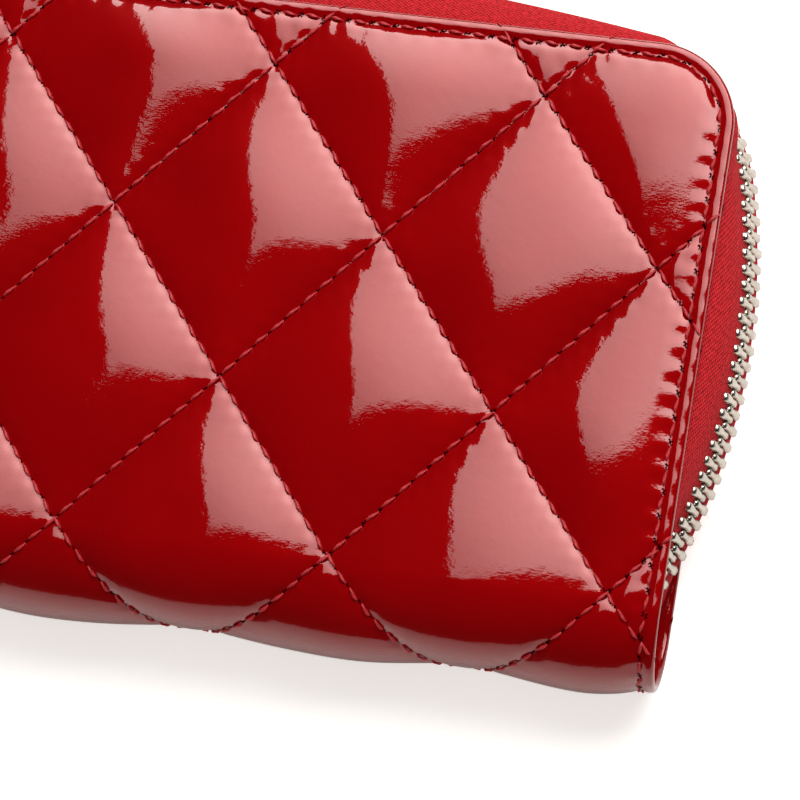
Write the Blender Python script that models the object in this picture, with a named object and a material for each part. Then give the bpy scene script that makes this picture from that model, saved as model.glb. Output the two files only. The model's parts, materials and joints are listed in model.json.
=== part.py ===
"""A zip-around long wallet in quilted patent leather.

The wallet lies on its back cover. +X runs along its length, +Y from the spine to the zip side and
+Z from the back cover to the front cover. The origin is the middle of the back cover's outer face.
All sizes are in metres.
"""

import math

import bmesh
import bpy
from mathutils import Matrix, Vector

# ---- Driving dimensions ----
WIDTH = 0.190  # along the spine
HEIGHT = 0.1005  # from the spine's outermost line to the top edge
THICKNESS = 0.024  # over both covers, zipped shut
CORNER_RADIUS = 0.013
GAP = 0.0003  # between pieces that touch

SKIN = 0.0012
BOARD = 0.0007
CLOTH = 0.0005  # lining, gussets and pocket walls
SLOT_LEATHER = 0.0004

TAPE = 0.0006
TAPE_SEAM_INSET = 0.0015  # the tape leaves the cover this far inside its edge
TAPE_SEAM_WIDTH = 0.0065  # the flap of tape sewn under the cover
TAPE_UPRIGHT = 0.0017  # the straight stretch beside the teeth

TOOTH_PITCH = 0.00263
TOOTH_DEPTH = 0.0026  # through the chain
TEETH_HALF_WIDTH = 0.0030  # from the chain's centre line to the back of a row
TOOTH_REACH = 0.0010  # how far a tooth passes the centre line
RAIL_BACK_OFF = 0.0013  # the row's solid edge stops this far from the centre line

# The chain's line in plan: arcs for the sides, the corners and the top, bulging past the covers.
SIDE_BULGE_RADIUS = 0.1016
SIDE_CENTRE_Y = 0.00625
SIDE_UPPER_DEG = 16.0  # the side arc ends this far above its centre
SIDE_LOWER_DEG = 20.5  # and this far below
CHAIN_CORNER_RADIUS = 0.022
CHAIN_TOP_DEG = 10.0  # half the angle of the top arc

CARD_LAYERS = 4
CARD_TOP_Y = 0.034
CARD_STEP = 0.0085
CARD_BOTTOM_Y = -0.036
CARD_SIDE_X = 0.089
CARD_SEAM_HALF = 0.0005

COIN_HALF_WIDTH = 0.086
COIN_BOTTOM_Y = -0.036
COIN_TOP_Y = 0.036
COIN_HALF_DEPTH = 0.0016
COIN_CHAIN_HALF = 0.0021
COIN_CHAIN_Y = (0.0386, 0.0404)
COIN_CHAIN_HALF_LENGTH = 0.080
COIN_SLIDER_X = -0.070
COIN_SLIDER_HALF = 0.0045

SLIDER_DEG = 196.0  # where the closed slider sits, about the side arc's centre
SLIDER_HALF_DEG = 3.4
SLIDER_PLATE = 0.0009
SLIDER_CLEARANCE = 0.0003
SLIDER_HALF_WIDTH = 0.0039
LINK_WIRE = 0.0007
LINK_LENGTH = 0.011
LINK_HALF_WIDTH = 0.0058
LINK_LEAN_DEG = 4.0  # how far the link lies in from the tangent
TAB_LEAN_DEG = 12.0
TAB_LENGTH = 0.034
TAB_WIDTH = 0.0086
TAB_THICKNESS = 0.0024

# ---- Worked out from the driving dimensions ----
HALF_WIDTH = WIDTH / 2
TOP_Y = HEIGHT / 2
SPINE_Y = -HEIGHT / 2
MID_Z = THICKNESS / 2
SPINE_CENTRE_Y = SPINE_Y + MID_Z
BOARD_Z = SKIN + GAP
LINING_Z = BOARD_Z + BOARD + GAP
FIRST_SLOT_Z = LINING_Z + CLOTH + GAP
SLOT_STEP_Z = SLOT_LEATHER + GAP
GUSSET_Z = FIRST_SLOT_Z + CARD_LAYERS * SLOT_STEP_Z

COLLECTION = "zip_around_wallet"
BACK = -1
FRONT = 1

COLOURS = {
    "patent": ((0.39, 0.002, 0.006), 0.08, 0.0),
    "patent_dark": ((0.22, 0.001, 0.004), 0.12, 0.0),
    "board": ((0.55, 0.50, 0.42), 0.80, 0.0),
    "lining": ((0.30, 0.012, 0.018), 0.75, 0.0),
    "slot": ((0.34, 0.006, 0.010), 0.35, 0.0),
    "tape": ((0.55, 0.006, 0.012), 0.90, 0.0),
    "nickel": ((0.66, 0.64, 0.60), 0.25, 1.0),
}


# ---- Small tools ----
def clear_scene():
    """Empties the scene, so the model is all that is in it."""
    for item in list(bpy.data.objects):
        bpy.data.objects.remove(item, do_unlink=True)


def make_material(name, colour, roughness, metallic):
    """A Principled material of one colour."""
    material = bpy.data.materials.new(name)
    material.use_nodes = True
    shader = material.node_tree.nodes["Principled BSDF"]
    shader.inputs["Base Color"].default_value = (*colour, 1.0)
    shader.inputs["Roughness"].default_value = roughness
    shader.inputs["Metallic"].default_value = metallic
    material.diffuse_color = (*colour, 1.0)
    return material


def add_part(name, data, finish):
    """Puts mesh or curve data into the wallet's collection as one named sub-part with its own material."""
    part = bpy.data.objects.new(name, data)
    bpy.data.collections[COLLECTION].objects.link(part)
    colour, roughness, metallic = COLOURS[finish]
    data.materials.append(make_material(name, colour, roughness, metallic))
    return part


def flat_outline(name, loops, thickness, finish, frame=None):
    """A flat sheet from closed outlines in its own XY plane, centred on that plane."""
    curve = bpy.data.curves.new(name, "CURVE")
    curve.dimensions = "2D"
    curve.fill_mode = "BOTH"
    curve.extrude = thickness / 2
    for loop in loops:
        spline = curve.splines.new("POLY")
        spline.points.add(len(loop) - 1)
        for point, (x, y) in zip(spline.points, loop):
            point.co = (x, y, 0.0, 1.0)
        spline.use_cyclic_u = True
    part = add_part(name, curve, finish)
    part.matrix_world = frame or Matrix.Identity(4)
    return part


def wire(name, points, radius, finish, cyclic=False):
    """A round wire along a line of points."""
    curve = bpy.data.curves.new(name, "CURVE")
    curve.dimensions = "3D"
    curve.bevel_depth = radius
    curve.bevel_resolution = 2
    curve.use_fill_caps = not cyclic
    spline = curve.splines.new("POLY")
    spline.points.add(len(points) - 1)
    for point, place in zip(spline.points, points):
        point.co = (*place, 1.0)
    spline.use_cyclic_u = cyclic
    return add_part(name, curve, finish)


def box_part(name, low, high, finish):
    """A plain box between two corners."""
    mesh = bpy.data.meshes.new(name)
    shape = bmesh.new()
    bmesh.ops.create_cube(shape, size=1.0)
    size = [b - a for a, b in zip(low, high)]
    middle = [(a + b) / 2 for a, b in zip(low, high)]
    bmesh.ops.scale(shape, vec=size, verts=shape.verts)
    shape.to_mesh(mesh)
    shape.free()
    part = add_part(name, mesh, finish)
    part.location = middle
    return part


def loft(name, sections, finish):
    """A solid skinned over a row of sections, each a closed loop of as many points, with both ends capped."""
    shape = bmesh.new()
    rings = [[shape.verts.new(point) for point in section] for section in sections]
    count = len(rings[0])
    for before, after in zip(rings, rings[1:]):
        for i in range(count):
            j = (i + 1) % count
            shape.faces.new((before[i], before[j], after[j], after[i]))
    shape.faces.new(list(reversed(rings[0])))
    shape.faces.new(rings[-1])
    bmesh.ops.recalc_face_normals(shape, faces=shape.faces)
    mesh = bpy.data.meshes.new(name)
    shape.to_mesh(mesh)
    shape.free()
    return add_part(name, mesh, finish)


def arc_points(centre, radius, start_deg, end_deg, steps):
    """Points along an arc, both ends included."""
    turns = [start_deg + (end_deg - start_deg) * i / steps for i in range(steps + 1)]
    return [
        (centre[0] + radius * math.cos(math.radians(a)), centre[1] + radius * math.sin(math.radians(a)))
        for a in turns
    ]


def side_name(side):
    """The cover that a side of the mid-plane belongs to."""
    return "front" if side == FRONT else "back"


def mirrored_z(side, z):
    """A height given from the outer face of a cover, turned into a height above the table."""
    return THICKNESS - z if side == FRONT else z


# ---- The covers' outline ----
def panel_outline(inset, bottom_y):
    """A cover-shaped outline, set in from the cover's edges by inset, with its lower edge at bottom_y."""
    half = HALF_WIDTH - inset
    radius = max(CORNER_RADIUS - inset, 0.002)
    top = TOP_Y - inset
    points = [(-half, bottom_y), (half, bottom_y)]
    points += arc_points((half - radius, top - radius), radius, 0, 90, 7)
    points += arc_points((radius - half, top - radius), radius, 90, 180, 7)
    return points


def panel(name, side, inset, bottom_y, near_z, thickness, finish):
    """One flat layer of a cover; near_z is measured in from the cover's outer face."""
    frame = Matrix.Translation((0, 0, mirrored_z(side, near_z + thickness / 2)))
    return flat_outline(name, [panel_outline(inset, bottom_y)], thickness, finish, frame)


# ---- The chain's line ----
def chain_arcs():
    """The chain's line in plan from its left end to its right end, as (centre, radius, start, end) arcs."""
    reach = SIDE_BULGE_RADIUS - CHAIN_CORNER_RADIUS
    upper = math.radians(SIDE_UPPER_DEG)
    corner = (reach * math.cos(upper), SIDE_CENTRE_Y + reach * math.sin(upper))
    lean = math.radians(90 - CHAIN_TOP_DEG)
    top_radius = corner[0] / math.cos(lean) + CHAIN_CORNER_RADIUS
    top_centre = (0.0, corner[1] - corner[0] * math.tan(lean))
    side_centre = (0.0, SIDE_CENTRE_Y)
    left_corner = (-corner[0], corner[1])
    return [
        (side_centre, SIDE_BULGE_RADIUS, 180 + SIDE_LOWER_DEG, 180 - SIDE_UPPER_DEG),
        (left_corner, CHAIN_CORNER_RADIUS, 180 - SIDE_UPPER_DEG, 90 + CHAIN_TOP_DEG),
        (top_centre, top_radius, 90 + CHAIN_TOP_DEG, 90 - CHAIN_TOP_DEG),
        (corner, CHAIN_CORNER_RADIUS, 90 - CHAIN_TOP_DEG, SIDE_UPPER_DEG),
        (side_centre, SIDE_BULGE_RADIUS, SIDE_UPPER_DEG, -SIDE_LOWER_DEG),
    ]


def seam_runs():
    """The line where the tape leaves the cover, as one straight or round run beside each arc of the chain."""
    x = HALF_WIDTH - TAPE_SEAM_INSET
    y = TOP_Y - TAPE_SEAM_INSET
    radius = CORNER_RADIUS - TAPE_SEAM_INSET
    low = SIDE_CENTRE_Y - SIDE_BULGE_RADIUS * math.sin(math.radians(SIDE_LOWER_DEG))
    left = (radius - x, y - radius)
    right = (x - radius, y - radius)
    return [
        lambda t: ((-x, low + (y - radius - low) * t), (-1.0, 0.0)),
        lambda t: round_run(left, radius, 180 - 90 * t),
        lambda t: (((x - radius) * (2 * t - 1), y), (0.0, 1.0)),
        lambda t: round_run(right, radius, 90 - 90 * t),
        lambda t: ((x, y - radius + (low - y + radius) * t), (1.0, 0.0)),
    ]


def round_run(centre, radius, angle_deg):
    """A point on a round run and its outward direction."""
    out = (math.cos(math.radians(angle_deg)), math.sin(math.radians(angle_deg)))
    return (centre[0] + radius * out[0], centre[1] + radius * out[1]), out


def chain_length():
    """The length of the chain's line."""
    return sum(r * math.radians(abs(a1 - a0)) for _, r, a0, a1 in chain_arcs())


def chain_at(distance):
    """The point on the chain's line at a distance from its left end, and the outward direction there."""
    arcs = chain_arcs()
    for centre, radius, start, end in arcs:
        length = radius * math.radians(abs(end - start))
        if distance <= length or (centre, radius, start, end) == arcs[-1]:
            angle = start + (end - start) * min(distance / length, 1.0)
            place, out = round_run(centre, radius, angle)
            return Vector(place), Vector(out)
        distance -= length
    raise ValueError("past the end of the chain")


# ---- Covers and spine ----
def build_cover(side):
    """Skin, stiffener and lining of one cover."""
    name = side_name(side)
    skin_bottom = SPINE_CENTRE_Y + GAP / 2
    panel(f"{name}_skin", side, 0.0, skin_bottom, 0.0, SKIN, "patent")
    panel(f"{name}_stiffener", side, 0.0095, skin_bottom + 0.001, BOARD_Z, BOARD, "board")
    panel(f"{name}_lining", side, 0.0045, skin_bottom, LINING_Z, CLOTH, "lining")


def build_spine_half(name, side, outer, thickness, half_width, finish):
    """A quarter-round wall from the cover's lower edge to the hinge line, half of the wrapped spine."""
    slip = math.degrees(GAP / 2 / outer)
    far = 180 - slip if side == FRONT else 180 + slip
    near = 90 + slip if side == FRONT else 270 - slip
    centre = (SPINE_CENTRE_Y, MID_Z)
    loop = arc_points(centre, outer, near, far, 8)
    loop += arc_points(centre, outer - thickness, far, near, 8)
    sideways = Matrix(((0, 0, 1, 0), (1, 0, 0, 0), (0, 1, 0, 0), (0, 0, 0, 1)))
    return flat_outline(name, [loop], 2 * half_width, finish, sideways)


def build_spine(side):
    """The spine's skin and lining, split at the hinge line."""
    name = side_name(side)
    build_spine_half(f"{name}_spine", side, MID_Z, SKIN, HALF_WIDTH, "patent")
    build_spine_half(f"{name}_spine_lining", side, MID_Z - LINING_Z, CLOTH, HALF_WIDTH - 0.0045, "lining")


# ---- Inside ----
def build_card_slots(side):
    """Two columns of card slots, each layer lower than the one behind it."""
    name = side_name(side)
    for layer in range(CARD_LAYERS):
        top = CARD_TOP_Y - CARD_STEP * layer
        z = mirrored_z(side, FIRST_SLOT_Z + SLOT_STEP_Z * layer + SLOT_LEATHER / 2)
        for column, low_x, high_x in (("left", -CARD_SIDE_X, -CARD_SEAM_HALF), ("right", CARD_SEAM_HALF, CARD_SIDE_X)):
            box_part(
                f"{name}_card_slot_{column}_{layer + 1}",
                (low_x, CARD_BOTTOM_Y, z - SLOT_LEATHER / 2),
                (high_x, top, z + SLOT_LEATHER / 2),
                "slot",
            )


def build_gussets(side):
    """The leaf of each side gusset that lies folded on this cover: wide at the mouth, narrow at the spine."""
    name = side_name(side)
    z = mirrored_z(side, GUSSET_Z + CLOTH / 2)
    for end, sign in (("left", -1), ("right", 1)):
        loop = [(0.085, -0.034), (0.0895, -0.034), (0.0895, 0.034), (0.074, 0.034)]
        loop = [(sign * x, y) for x, y in loop]
        flat_outline(f"{name}_gusset_{end}", [loop], CLOTH, "lining", Matrix.Translation((0, 0, z)))


def build_coin_pocket():
    """The zipped pocket on the mid-plane: two walls, a floor and two side seams."""
    for side in (BACK, FRONT):
        z = MID_Z + side * (COIN_HALF_DEPTH - CLOTH / 2)
        box_part(
            f"coin_wall_{side_name(side)}",
            (-COIN_HALF_WIDTH, COIN_BOTTOM_Y, z - CLOTH / 2),
            (COIN_HALF_WIDTH, COIN_TOP_Y, z + CLOTH / 2),
            "lining",
        )
    inner = COIN_HALF_DEPTH - CLOTH - GAP
    box_part(
        "coin_floor",
        (-COIN_HALF_WIDTH, COIN_BOTTOM_Y, MID_Z - inner),
        (COIN_HALF_WIDTH, COIN_BOTTOM_Y + 0.002, MID_Z + inner),
        "lining",
    )
    for end, sign in (("left", -1), ("right", 1)):
        edges = sorted((sign * COIN_HALF_WIDTH, sign * (COIN_HALF_WIDTH - 0.002)))
        box_part(
            f"coin_seam_{end}",
            (edges[0], COIN_BOTTOM_Y + 0.002 + GAP, MID_Z - inner),
            (edges[1], COIN_TOP_Y, MID_Z + inner),
            "lining",
        )


def build_coin_zip():
    """The coin pocket's small zip, closed, with its slider, bail and pull."""
    low_y, high_y = COIN_CHAIN_Y
    box_part(
        "coin_chain",
        (-COIN_CHAIN_HALF_LENGTH, low_y, MID_Z - COIN_CHAIN_HALF),
        (COIN_CHAIN_HALF_LENGTH, high_y, MID_Z + COIN_CHAIN_HALF),
        "nickel",
    )
    inner = COIN_HALF_DEPTH - CLOTH - GAP
    for side in (BACK, FRONT):
        z = MID_Z + side * (inner - TAPE / 2)
        box_part(
            f"coin_tape_{side_name(side)}",
            (-COIN_CHAIN_HALF_LENGTH, COIN_TOP_Y - 0.006, z - TAPE / 2),
            (COIN_CHAIN_HALF_LENGTH, low_y - GAP, z + TAPE / 2),
            "tape",
        )
    clear = COIN_CHAIN_HALF + SLIDER_CLEARANCE
    outer = clear + 0.0007
    plate_y = high_y + SLIDER_CLEARANCE
    top_y = plate_y + 0.0008
    channel = [
        (low_y - GAP, MID_Z - outer),
        (low_y - GAP, MID_Z - clear),
        (plate_y, MID_Z - clear),
        (plate_y, MID_Z + clear),
        (low_y - GAP, MID_Z + clear),
        (low_y - GAP, MID_Z + outer),
        (top_y, MID_Z + outer),
        (top_y, MID_Z - outer),
    ]
    sideways = Matrix(((0, 0, 1, COIN_SLIDER_X), (1, 0, 0, 0), (0, 1, 0, 0), (0, 0, 0, 1)))
    flat_outline("coin_slider", [channel], 2 * COIN_SLIDER_HALF, "nickel", sideways)
    foot_y = top_y + GAP
    bail = [
        (COIN_SLIDER_X - 0.0022, foot_y, MID_Z),
        (COIN_SLIDER_X - 0.0022, foot_y + 0.0012, MID_Z),
        (COIN_SLIDER_X - 0.0014, foot_y + 0.0019, MID_Z),
        (COIN_SLIDER_X + 0.0014, foot_y + 0.0019, MID_Z),
        (COIN_SLIDER_X + 0.0022, foot_y + 0.0012, MID_Z),
        (COIN_SLIDER_X + 0.0022, foot_y, MID_Z),
    ]
    wire("coin_bail", bail, 0.0004, "nickel")
    plate = [(-0.0006, -0.0020), (0.0115, -0.0020)]
    plate += arc_points((0.0115, 0.0), 0.0020, -60, 60, 4)
    plate += [(0.0115, 0.0020), (-0.0006, 0.0020)]
    eye = [(0.0006, -0.0011), (0.0038, -0.0011), (0.0038, 0.0011), (0.0006, 0.0011)]
    flat_y = foot_y + 0.0007
    upright = Matrix(((1, 0, 0, COIN_SLIDER_X), (0, 0, -1, flat_y), (0, 1, 0, MID_Z), (0, 0, 0, 1)))
    flat_outline("coin_pull", [plate, eye], 0.0007, "nickel", upright)


# ---- The main zip ----
def tape_section(side, chain_place, chain_out, seam_place, seam_out):
    """One cross-section of a tape: upright beside the teeth, round to the cover, then flat under its edge."""
    teeth_z = TEETH_HALF_WIDTH + GAP
    upright_z = teeth_z + TAPE_UPRIGHT
    seam_z = MID_Z - SKIN - GAP - TAPE / 2
    start = Vector((*chain_place, 0))
    end = Vector((*seam_place, 0))
    line = [start + Vector((0, 0, teeth_z)), start + Vector((0, 0, upright_z))]
    for t in (0.35, 0.7, 1.0):
        line.append(start.lerp(end, t * t) + Vector((0, 0, seam_z - (seam_z - upright_z) * (1 - t) ** 2)))
    line.append(end - Vector((*seam_out, 0)) * TAPE_SEAM_WIDTH + Vector((0, 0, seam_z)))
    out = Vector((*chain_out, 0)).normalized()
    away = [out, out]
    for i in range(2, 5):
        share = (i - 1) / 3
        away.append((out * (1 - share) + Vector((0, 0, 1)) * share).normalized())
    away.append(Vector((0, 0, 1)))
    outer = [p + a * TAPE / 2 for p, a in zip(line, away)]
    inner = [p - a * TAPE / 2 for p, a in zip(line, away)]
    loop = outer + list(reversed(inner))
    return [Vector((p.x, p.y, MID_Z + side * p.z)) for p in loop]


def build_tape(side):
    """One woven tape, from its row of teeth to the flap sewn under the cover."""
    sections = []
    for (centre, radius, start, end), seam, steps in zip(chain_arcs(), seam_runs(), (8, 8, 8, 8, 8)):
        first = 0 if not sections else 1
        for i in range(first, steps + 1):
            place, out = round_run(centre, radius, start + (end - start) * i / steps)
            seam_place, seam_out = seam(i / steps)
            sections.append(tape_section(side, place, out, seam_place, seam_out))
    loft(f"{side_name(side)}_tape", sections, "tape")


def build_teeth(side):
    """One row of metal teeth as a comb along the chain's line; the two rows mesh half a pitch apart."""
    half_tooth = TOOTH_PITCH / 4 - GAP / 2
    count = int(chain_length() / TOOTH_PITCH) - 1
    offset = TOOTH_PITCH * (0.75 if side == FRONT else 0.25)
    back = TEETH_HALF_WIDTH
    rail = RAIL_BACK_OFF
    tip = -TOOTH_REACH
    shape = bmesh.new()

    def column(distance, heights):
        place, out = chain_at(distance)
        rows = []
        for height in heights:
            z = MID_Z + side * height
            for depth in (-TOOTH_DEPTH / 2, TOOTH_DEPTH / 2):
                spot = place + out * depth
                rows.append(shape.verts.new((spot.x, spot.y, z)))
        return rows

    columns = []
    for tooth in range(count):
        middle = offset + TOOTH_PITCH * tooth + TOOTH_PITCH / 4
        columns.append(column(middle - half_tooth, (back, rail, tip)))
        columns.append(column(middle + half_tooth, (back, rail, tip)))
    for index, (a, b) in enumerate(zip(columns, columns[1:])):
        faces = [(a[0], a[1], b[1], b[0])]
        if index % 2 == 0:
            faces += [(a[0], b[0], b[2], b[4], a[4], a[2]), (a[1], b[1], b[3], b[5], a[5], a[3])]
            faces += [(a[4], a[5], b[5], b[4])]
        else:
            faces += [(a[0], b[0], b[2], a[2]), (a[1], b[1], b[3], a[3]), (a[2], a[3], b[3], b[2])]
            faces += [(a[2], a[3], a[5], a[4]), (b[2], b[3], b[5], b[4])]
        for face in faces:
            shape.faces.new(face)
    first = columns[0]
    last = columns[-1]
    shape.faces.new((first[0], first[1], first[3], first[5], first[4], first[2]))
    shape.faces.new((last[0], last[1], last[3], last[5], last[4], last[2]))
    bmesh.ops.recalc_face_normals(shape, faces=shape.faces)
    mesh = bpy.data.meshes.new(f"{side_name(side)}_teeth")
    shape.to_mesh(mesh)
    shape.free()
    add_part(f"{side_name(side)}_teeth", mesh, "nickel")


def arc_solid(name, profile, start_deg, end_deg, steps, finish):
    """A profile of (outward, height) points carried along the left side's arc."""
    sections = []
    for i in range(steps + 1):
        place, out = round_run((0.0, SIDE_CENTRE_Y), SIDE_BULGE_RADIUS, start_deg + (end_deg - start_deg) * i / steps)
        sections.append([(place[0] + out[0] * n, place[1] + out[1] * n, MID_Z + h) for n, h in profile])
    return loft(name, sections, finish)


def build_stops():
    """The metal stops past both ends of the chain."""
    past = math.degrees((TOOTH_PITCH * 0.5) / SIDE_BULGE_RADIUS)
    length = math.degrees(0.0022 / SIDE_BULGE_RADIUS)
    half = TOOTH_DEPTH / 2
    width = TEETH_HALF_WIDTH
    closed_end = 180 + SIDE_LOWER_DEG + past
    for side in (BACK, FRONT):
        near, far = side * GAP, side * width
        profile = [(-half, near), (half, near), (half, far), (-half, far)]
        arc_solid(f"{side_name(side)}_top_stop", profile, closed_end, closed_end + length, 1, "nickel")
    profile = [(-half, -width), (half, -width), (half, width), (-half, width)]
    open_end = -SIDE_LOWER_DEG - past
    arc_solid("bottom_stop", profile, open_end, open_end - length, 1, "nickel")


def slider_frame():
    """A frame at the closed slider: X along the chain toward the top, Y outward and Z up."""
    place, out = round_run((0.0, SIDE_CENTRE_Y), SIDE_BULGE_RADIUS, SLIDER_DEG)
    along = Vector((-out[1], out[0], 0)) * -1
    outward = Vector((*out, 0))
    frame = Matrix.Identity(4)
    frame.col[0] = (*along, 0)
    frame.col[1] = (*outward, 0)
    frame.col[3] = (place[0], place[1], MID_Z, 1)
    return frame


def build_slider():
    """The main slider's two plates, with lips behind the back row of teeth, and the bail that holds the pull."""
    near = TOOTH_DEPTH / 2 + SLIDER_CLEARANCE
    far = near + SLIDER_PLATE
    lip = TAPE / 2 + 2 * SLIDER_CLEARANCE
    low = -TEETH_HALF_WIDTH - SLIDER_CLEARANCE
    wide = SLIDER_HALF_WIDTH
    profile = [(near, wide), (far, wide), (far, -wide), (lip, -wide), (lip, low), (near, low)]
    start, end = SLIDER_DEG + SLIDER_HALF_DEG, SLIDER_DEG - SLIDER_HALF_DEG
    arc_solid("slider_outer_plate", profile, start, end, 4, "nickel")
    arc_solid("slider_inner_plate", [(-n, h) for n, h in profile], start, end, 4, "nickel")
    frame = slider_frame()
    foot = far + GAP
    crown = far + 0.0030
    bail = [(-0.0034, foot), (-0.0034, crown - 0.0010), (-0.0022, crown), (0.0022, crown)]
    bail += [(0.0034, crown - 0.0010), (0.0034, foot)]
    wire("slider_bail", [frame @ Vector((x, y, 0)) for x, y in bail], 0.0006, "nickel")


def pull_frame(lean_deg, start):
    """A frame at a pull's pivot: X along the pull, Y outward from the chain and Z up."""
    return Matrix.Translation(start) @ slider_frame().to_3x3().to_4x4() @ Matrix.Rotation(math.radians(-lean_deg), 4, "Z")


def link_pivot():
    """The line that the pull's link turns on, inside the slider's bail."""
    lift = TOOTH_DEPTH / 2 + SLIDER_CLEARANCE + SLIDER_PLATE + LINK_WIRE + 2 * GAP
    return slider_frame() @ Vector((0, lift, 0))


def build_pull():
    """The wire link in the slider's bail, and the folded leather tab on the link."""
    frame = pull_frame(LINK_LEAN_DEG, link_pivot())
    near = LINK_HALF_WIDTH
    loop = arc_points((near, 0.0), near, 270, 90, 10)
    loop += arc_points((LINK_LENGTH - 0.0012, near - 0.0012), 0.0012, 90, 0, 2)
    loop += arc_points((LINK_LENGTH - 0.0012, 0.0012 - near), 0.0012, 0, -90, 2)
    wire("pull_link", [frame @ Vector((x, 0, z)) for x, z in loop], LINK_WIRE, "nickel", cyclic=True)
    tab_frame = pull_frame(TAB_LEAN_DEG, frame @ Vector((LINK_LENGTH, 0, 0)))
    half = TAB_THICKNESS / 2
    eye = LINK_WIRE + GAP
    outer = eye + 0.0009
    lean = math.degrees(math.asin(half / outer))
    strap = arc_points((0.0, 0.0), outer, lean, 360 - lean, 12)
    strap += [(TAB_LENGTH - 0.0006, -half), (TAB_LENGTH, -half * 0.5), (TAB_LENGTH, half * 0.5)]
    strap += [(TAB_LENGTH - 0.0006, half)]
    hole = arc_points((0.0, 0.0), eye, 0, 330, 11)
    flat_outline("pull_tab", [strap, hole], TAB_WIDTH, "patent_dark", tab_frame)


def build():
    """Makes the whole wallet."""
    clear_scene()
    collection = bpy.data.collections.new(COLLECTION)
    bpy.context.scene.collection.children.link(collection)
    for side in (BACK, FRONT):
        build_cover(side)
        build_spine(side)
        build_card_slots(side)
        build_gussets(side)
        build_tape(side)
        build_teeth(side)
    build_stops()
    build_slider()
    build_pull()
    build_coin_pocket()
    build_coin_zip()


build()
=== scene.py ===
"""The looks of a zip-around long wallet in quilted red patent leather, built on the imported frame.

The leather is laid out flat as a pattern piece, with x along the wallet and v down from the front
cover's top edge, over the spine and on to the back cover's top edge. It is quilted, edged and
stitched while flat, and then wrapped onto the wallet.
"""

import json
import logging
import math
from dataclasses import dataclass, field
from enum import Enum
from typing import Any, Iterator, Sequence

import bmesh
import bpy
import numpy as np
from bpy.types import Light, Material, Mesh, Node, NodeSocket, NodeTree, Object
from mathutils import Matrix, Vector


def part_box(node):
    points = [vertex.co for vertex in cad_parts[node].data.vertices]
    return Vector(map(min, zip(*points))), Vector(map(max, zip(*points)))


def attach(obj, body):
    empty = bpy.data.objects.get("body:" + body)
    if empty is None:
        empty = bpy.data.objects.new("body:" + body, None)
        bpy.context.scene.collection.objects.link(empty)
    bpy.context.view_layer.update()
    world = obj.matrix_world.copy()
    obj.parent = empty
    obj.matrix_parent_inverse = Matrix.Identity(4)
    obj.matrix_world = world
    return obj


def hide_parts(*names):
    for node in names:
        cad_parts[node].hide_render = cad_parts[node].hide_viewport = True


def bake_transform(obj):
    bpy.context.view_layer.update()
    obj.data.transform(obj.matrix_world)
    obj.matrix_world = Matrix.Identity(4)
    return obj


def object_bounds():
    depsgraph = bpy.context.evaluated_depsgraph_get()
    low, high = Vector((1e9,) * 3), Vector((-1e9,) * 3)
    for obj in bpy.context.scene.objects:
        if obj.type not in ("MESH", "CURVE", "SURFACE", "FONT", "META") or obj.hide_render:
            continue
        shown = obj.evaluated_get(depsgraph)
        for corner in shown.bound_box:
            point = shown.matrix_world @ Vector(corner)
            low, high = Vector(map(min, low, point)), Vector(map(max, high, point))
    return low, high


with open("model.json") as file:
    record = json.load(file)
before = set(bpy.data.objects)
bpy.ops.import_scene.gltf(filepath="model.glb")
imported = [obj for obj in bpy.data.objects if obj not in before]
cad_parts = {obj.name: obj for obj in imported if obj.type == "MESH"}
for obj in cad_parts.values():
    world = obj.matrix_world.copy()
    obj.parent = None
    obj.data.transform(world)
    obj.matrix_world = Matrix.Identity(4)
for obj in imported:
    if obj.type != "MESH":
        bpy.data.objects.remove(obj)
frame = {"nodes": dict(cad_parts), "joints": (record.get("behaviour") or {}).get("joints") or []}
CAD_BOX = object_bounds()

MM = 0.001
LOG = logging.getLogger("wallet")
Array = np.ndarray


class Cover(Enum):
    """Which of the two covers a piece belongs to."""

    FRONT = "front"
    BACK = "back"

    @property
    def body(self) -> str:
        """The CAD body that the cover rides on."""
        return f"{self.value}_cover"

    @property
    def sign(self) -> int:
        """+1 above the mid-plane and -1 below it."""
        return 1 if self is Cover.FRONT else -1


class End(Enum):
    """The wallet's two ends."""

    LEFT = "left"
    RIGHT = "right"

    @property
    def sign(self) -> int:
        """The end's direction along X."""
        return 1 if self is End.RIGHT else -1


# ---- Small tools ----
def srgb(code: str) -> tuple[float, float, float, float]:
    """Turns a hex colour into linear values.

    Args:
        code: six hex digits.

    Returns:
        Linear red, green and blue, and an alpha of 1.
    """
    channels = [int(code[i : i + 2], 16) / 255 for i in (0, 2, 4)]
    linear = [c / 12.92 if c <= 0.04045 else ((c + 0.055) / 1.055) ** 2.4 for c in channels]
    return linear[0], linear[1], linear[2], 1.0


def wire(
    node: Node,
    settings: dict[str, Any] | None = None,
    links: dict[str, NodeSocket] | None = None,
) -> Node:
    """Sets a node's values and links its inputs.

    Args:
        node: the node.
        settings: values by input socket name or number, or by the node's own property name.
        links: output sockets by the input socket they feed.

    Returns:
        The node.
    """
    for name, value in (settings or {}).items():
        if hasattr(node, name):
            setattr(node, name, value)
        else:
            node.inputs[int(name) if name.isdigit() else name].default_value = value
    for name, source in (links or {}).items():
        node.id_data.links.new(source, node.inputs[int(name) if name.isdigit() else name])
    return node


def add_node(
    tree: NodeTree,
    kind: str,
    settings: dict[str, Any] | None = None,
    links: dict[str, NodeSocket] | None = None,
) -> Node:
    """Adds one node of a kind, with settings and links as wire() takes them."""
    return wire(tree.nodes.new(kind), settings, links)


def new_material(name: str) -> tuple[Material, NodeTree, Node]:
    """A fresh Principled material, with its tree and its shader node."""
    material = bpy.data.materials.new(name)
    material.use_nodes = True
    return material, material.node_tree, material.node_tree.nodes["Principled BSDF"]


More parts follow.
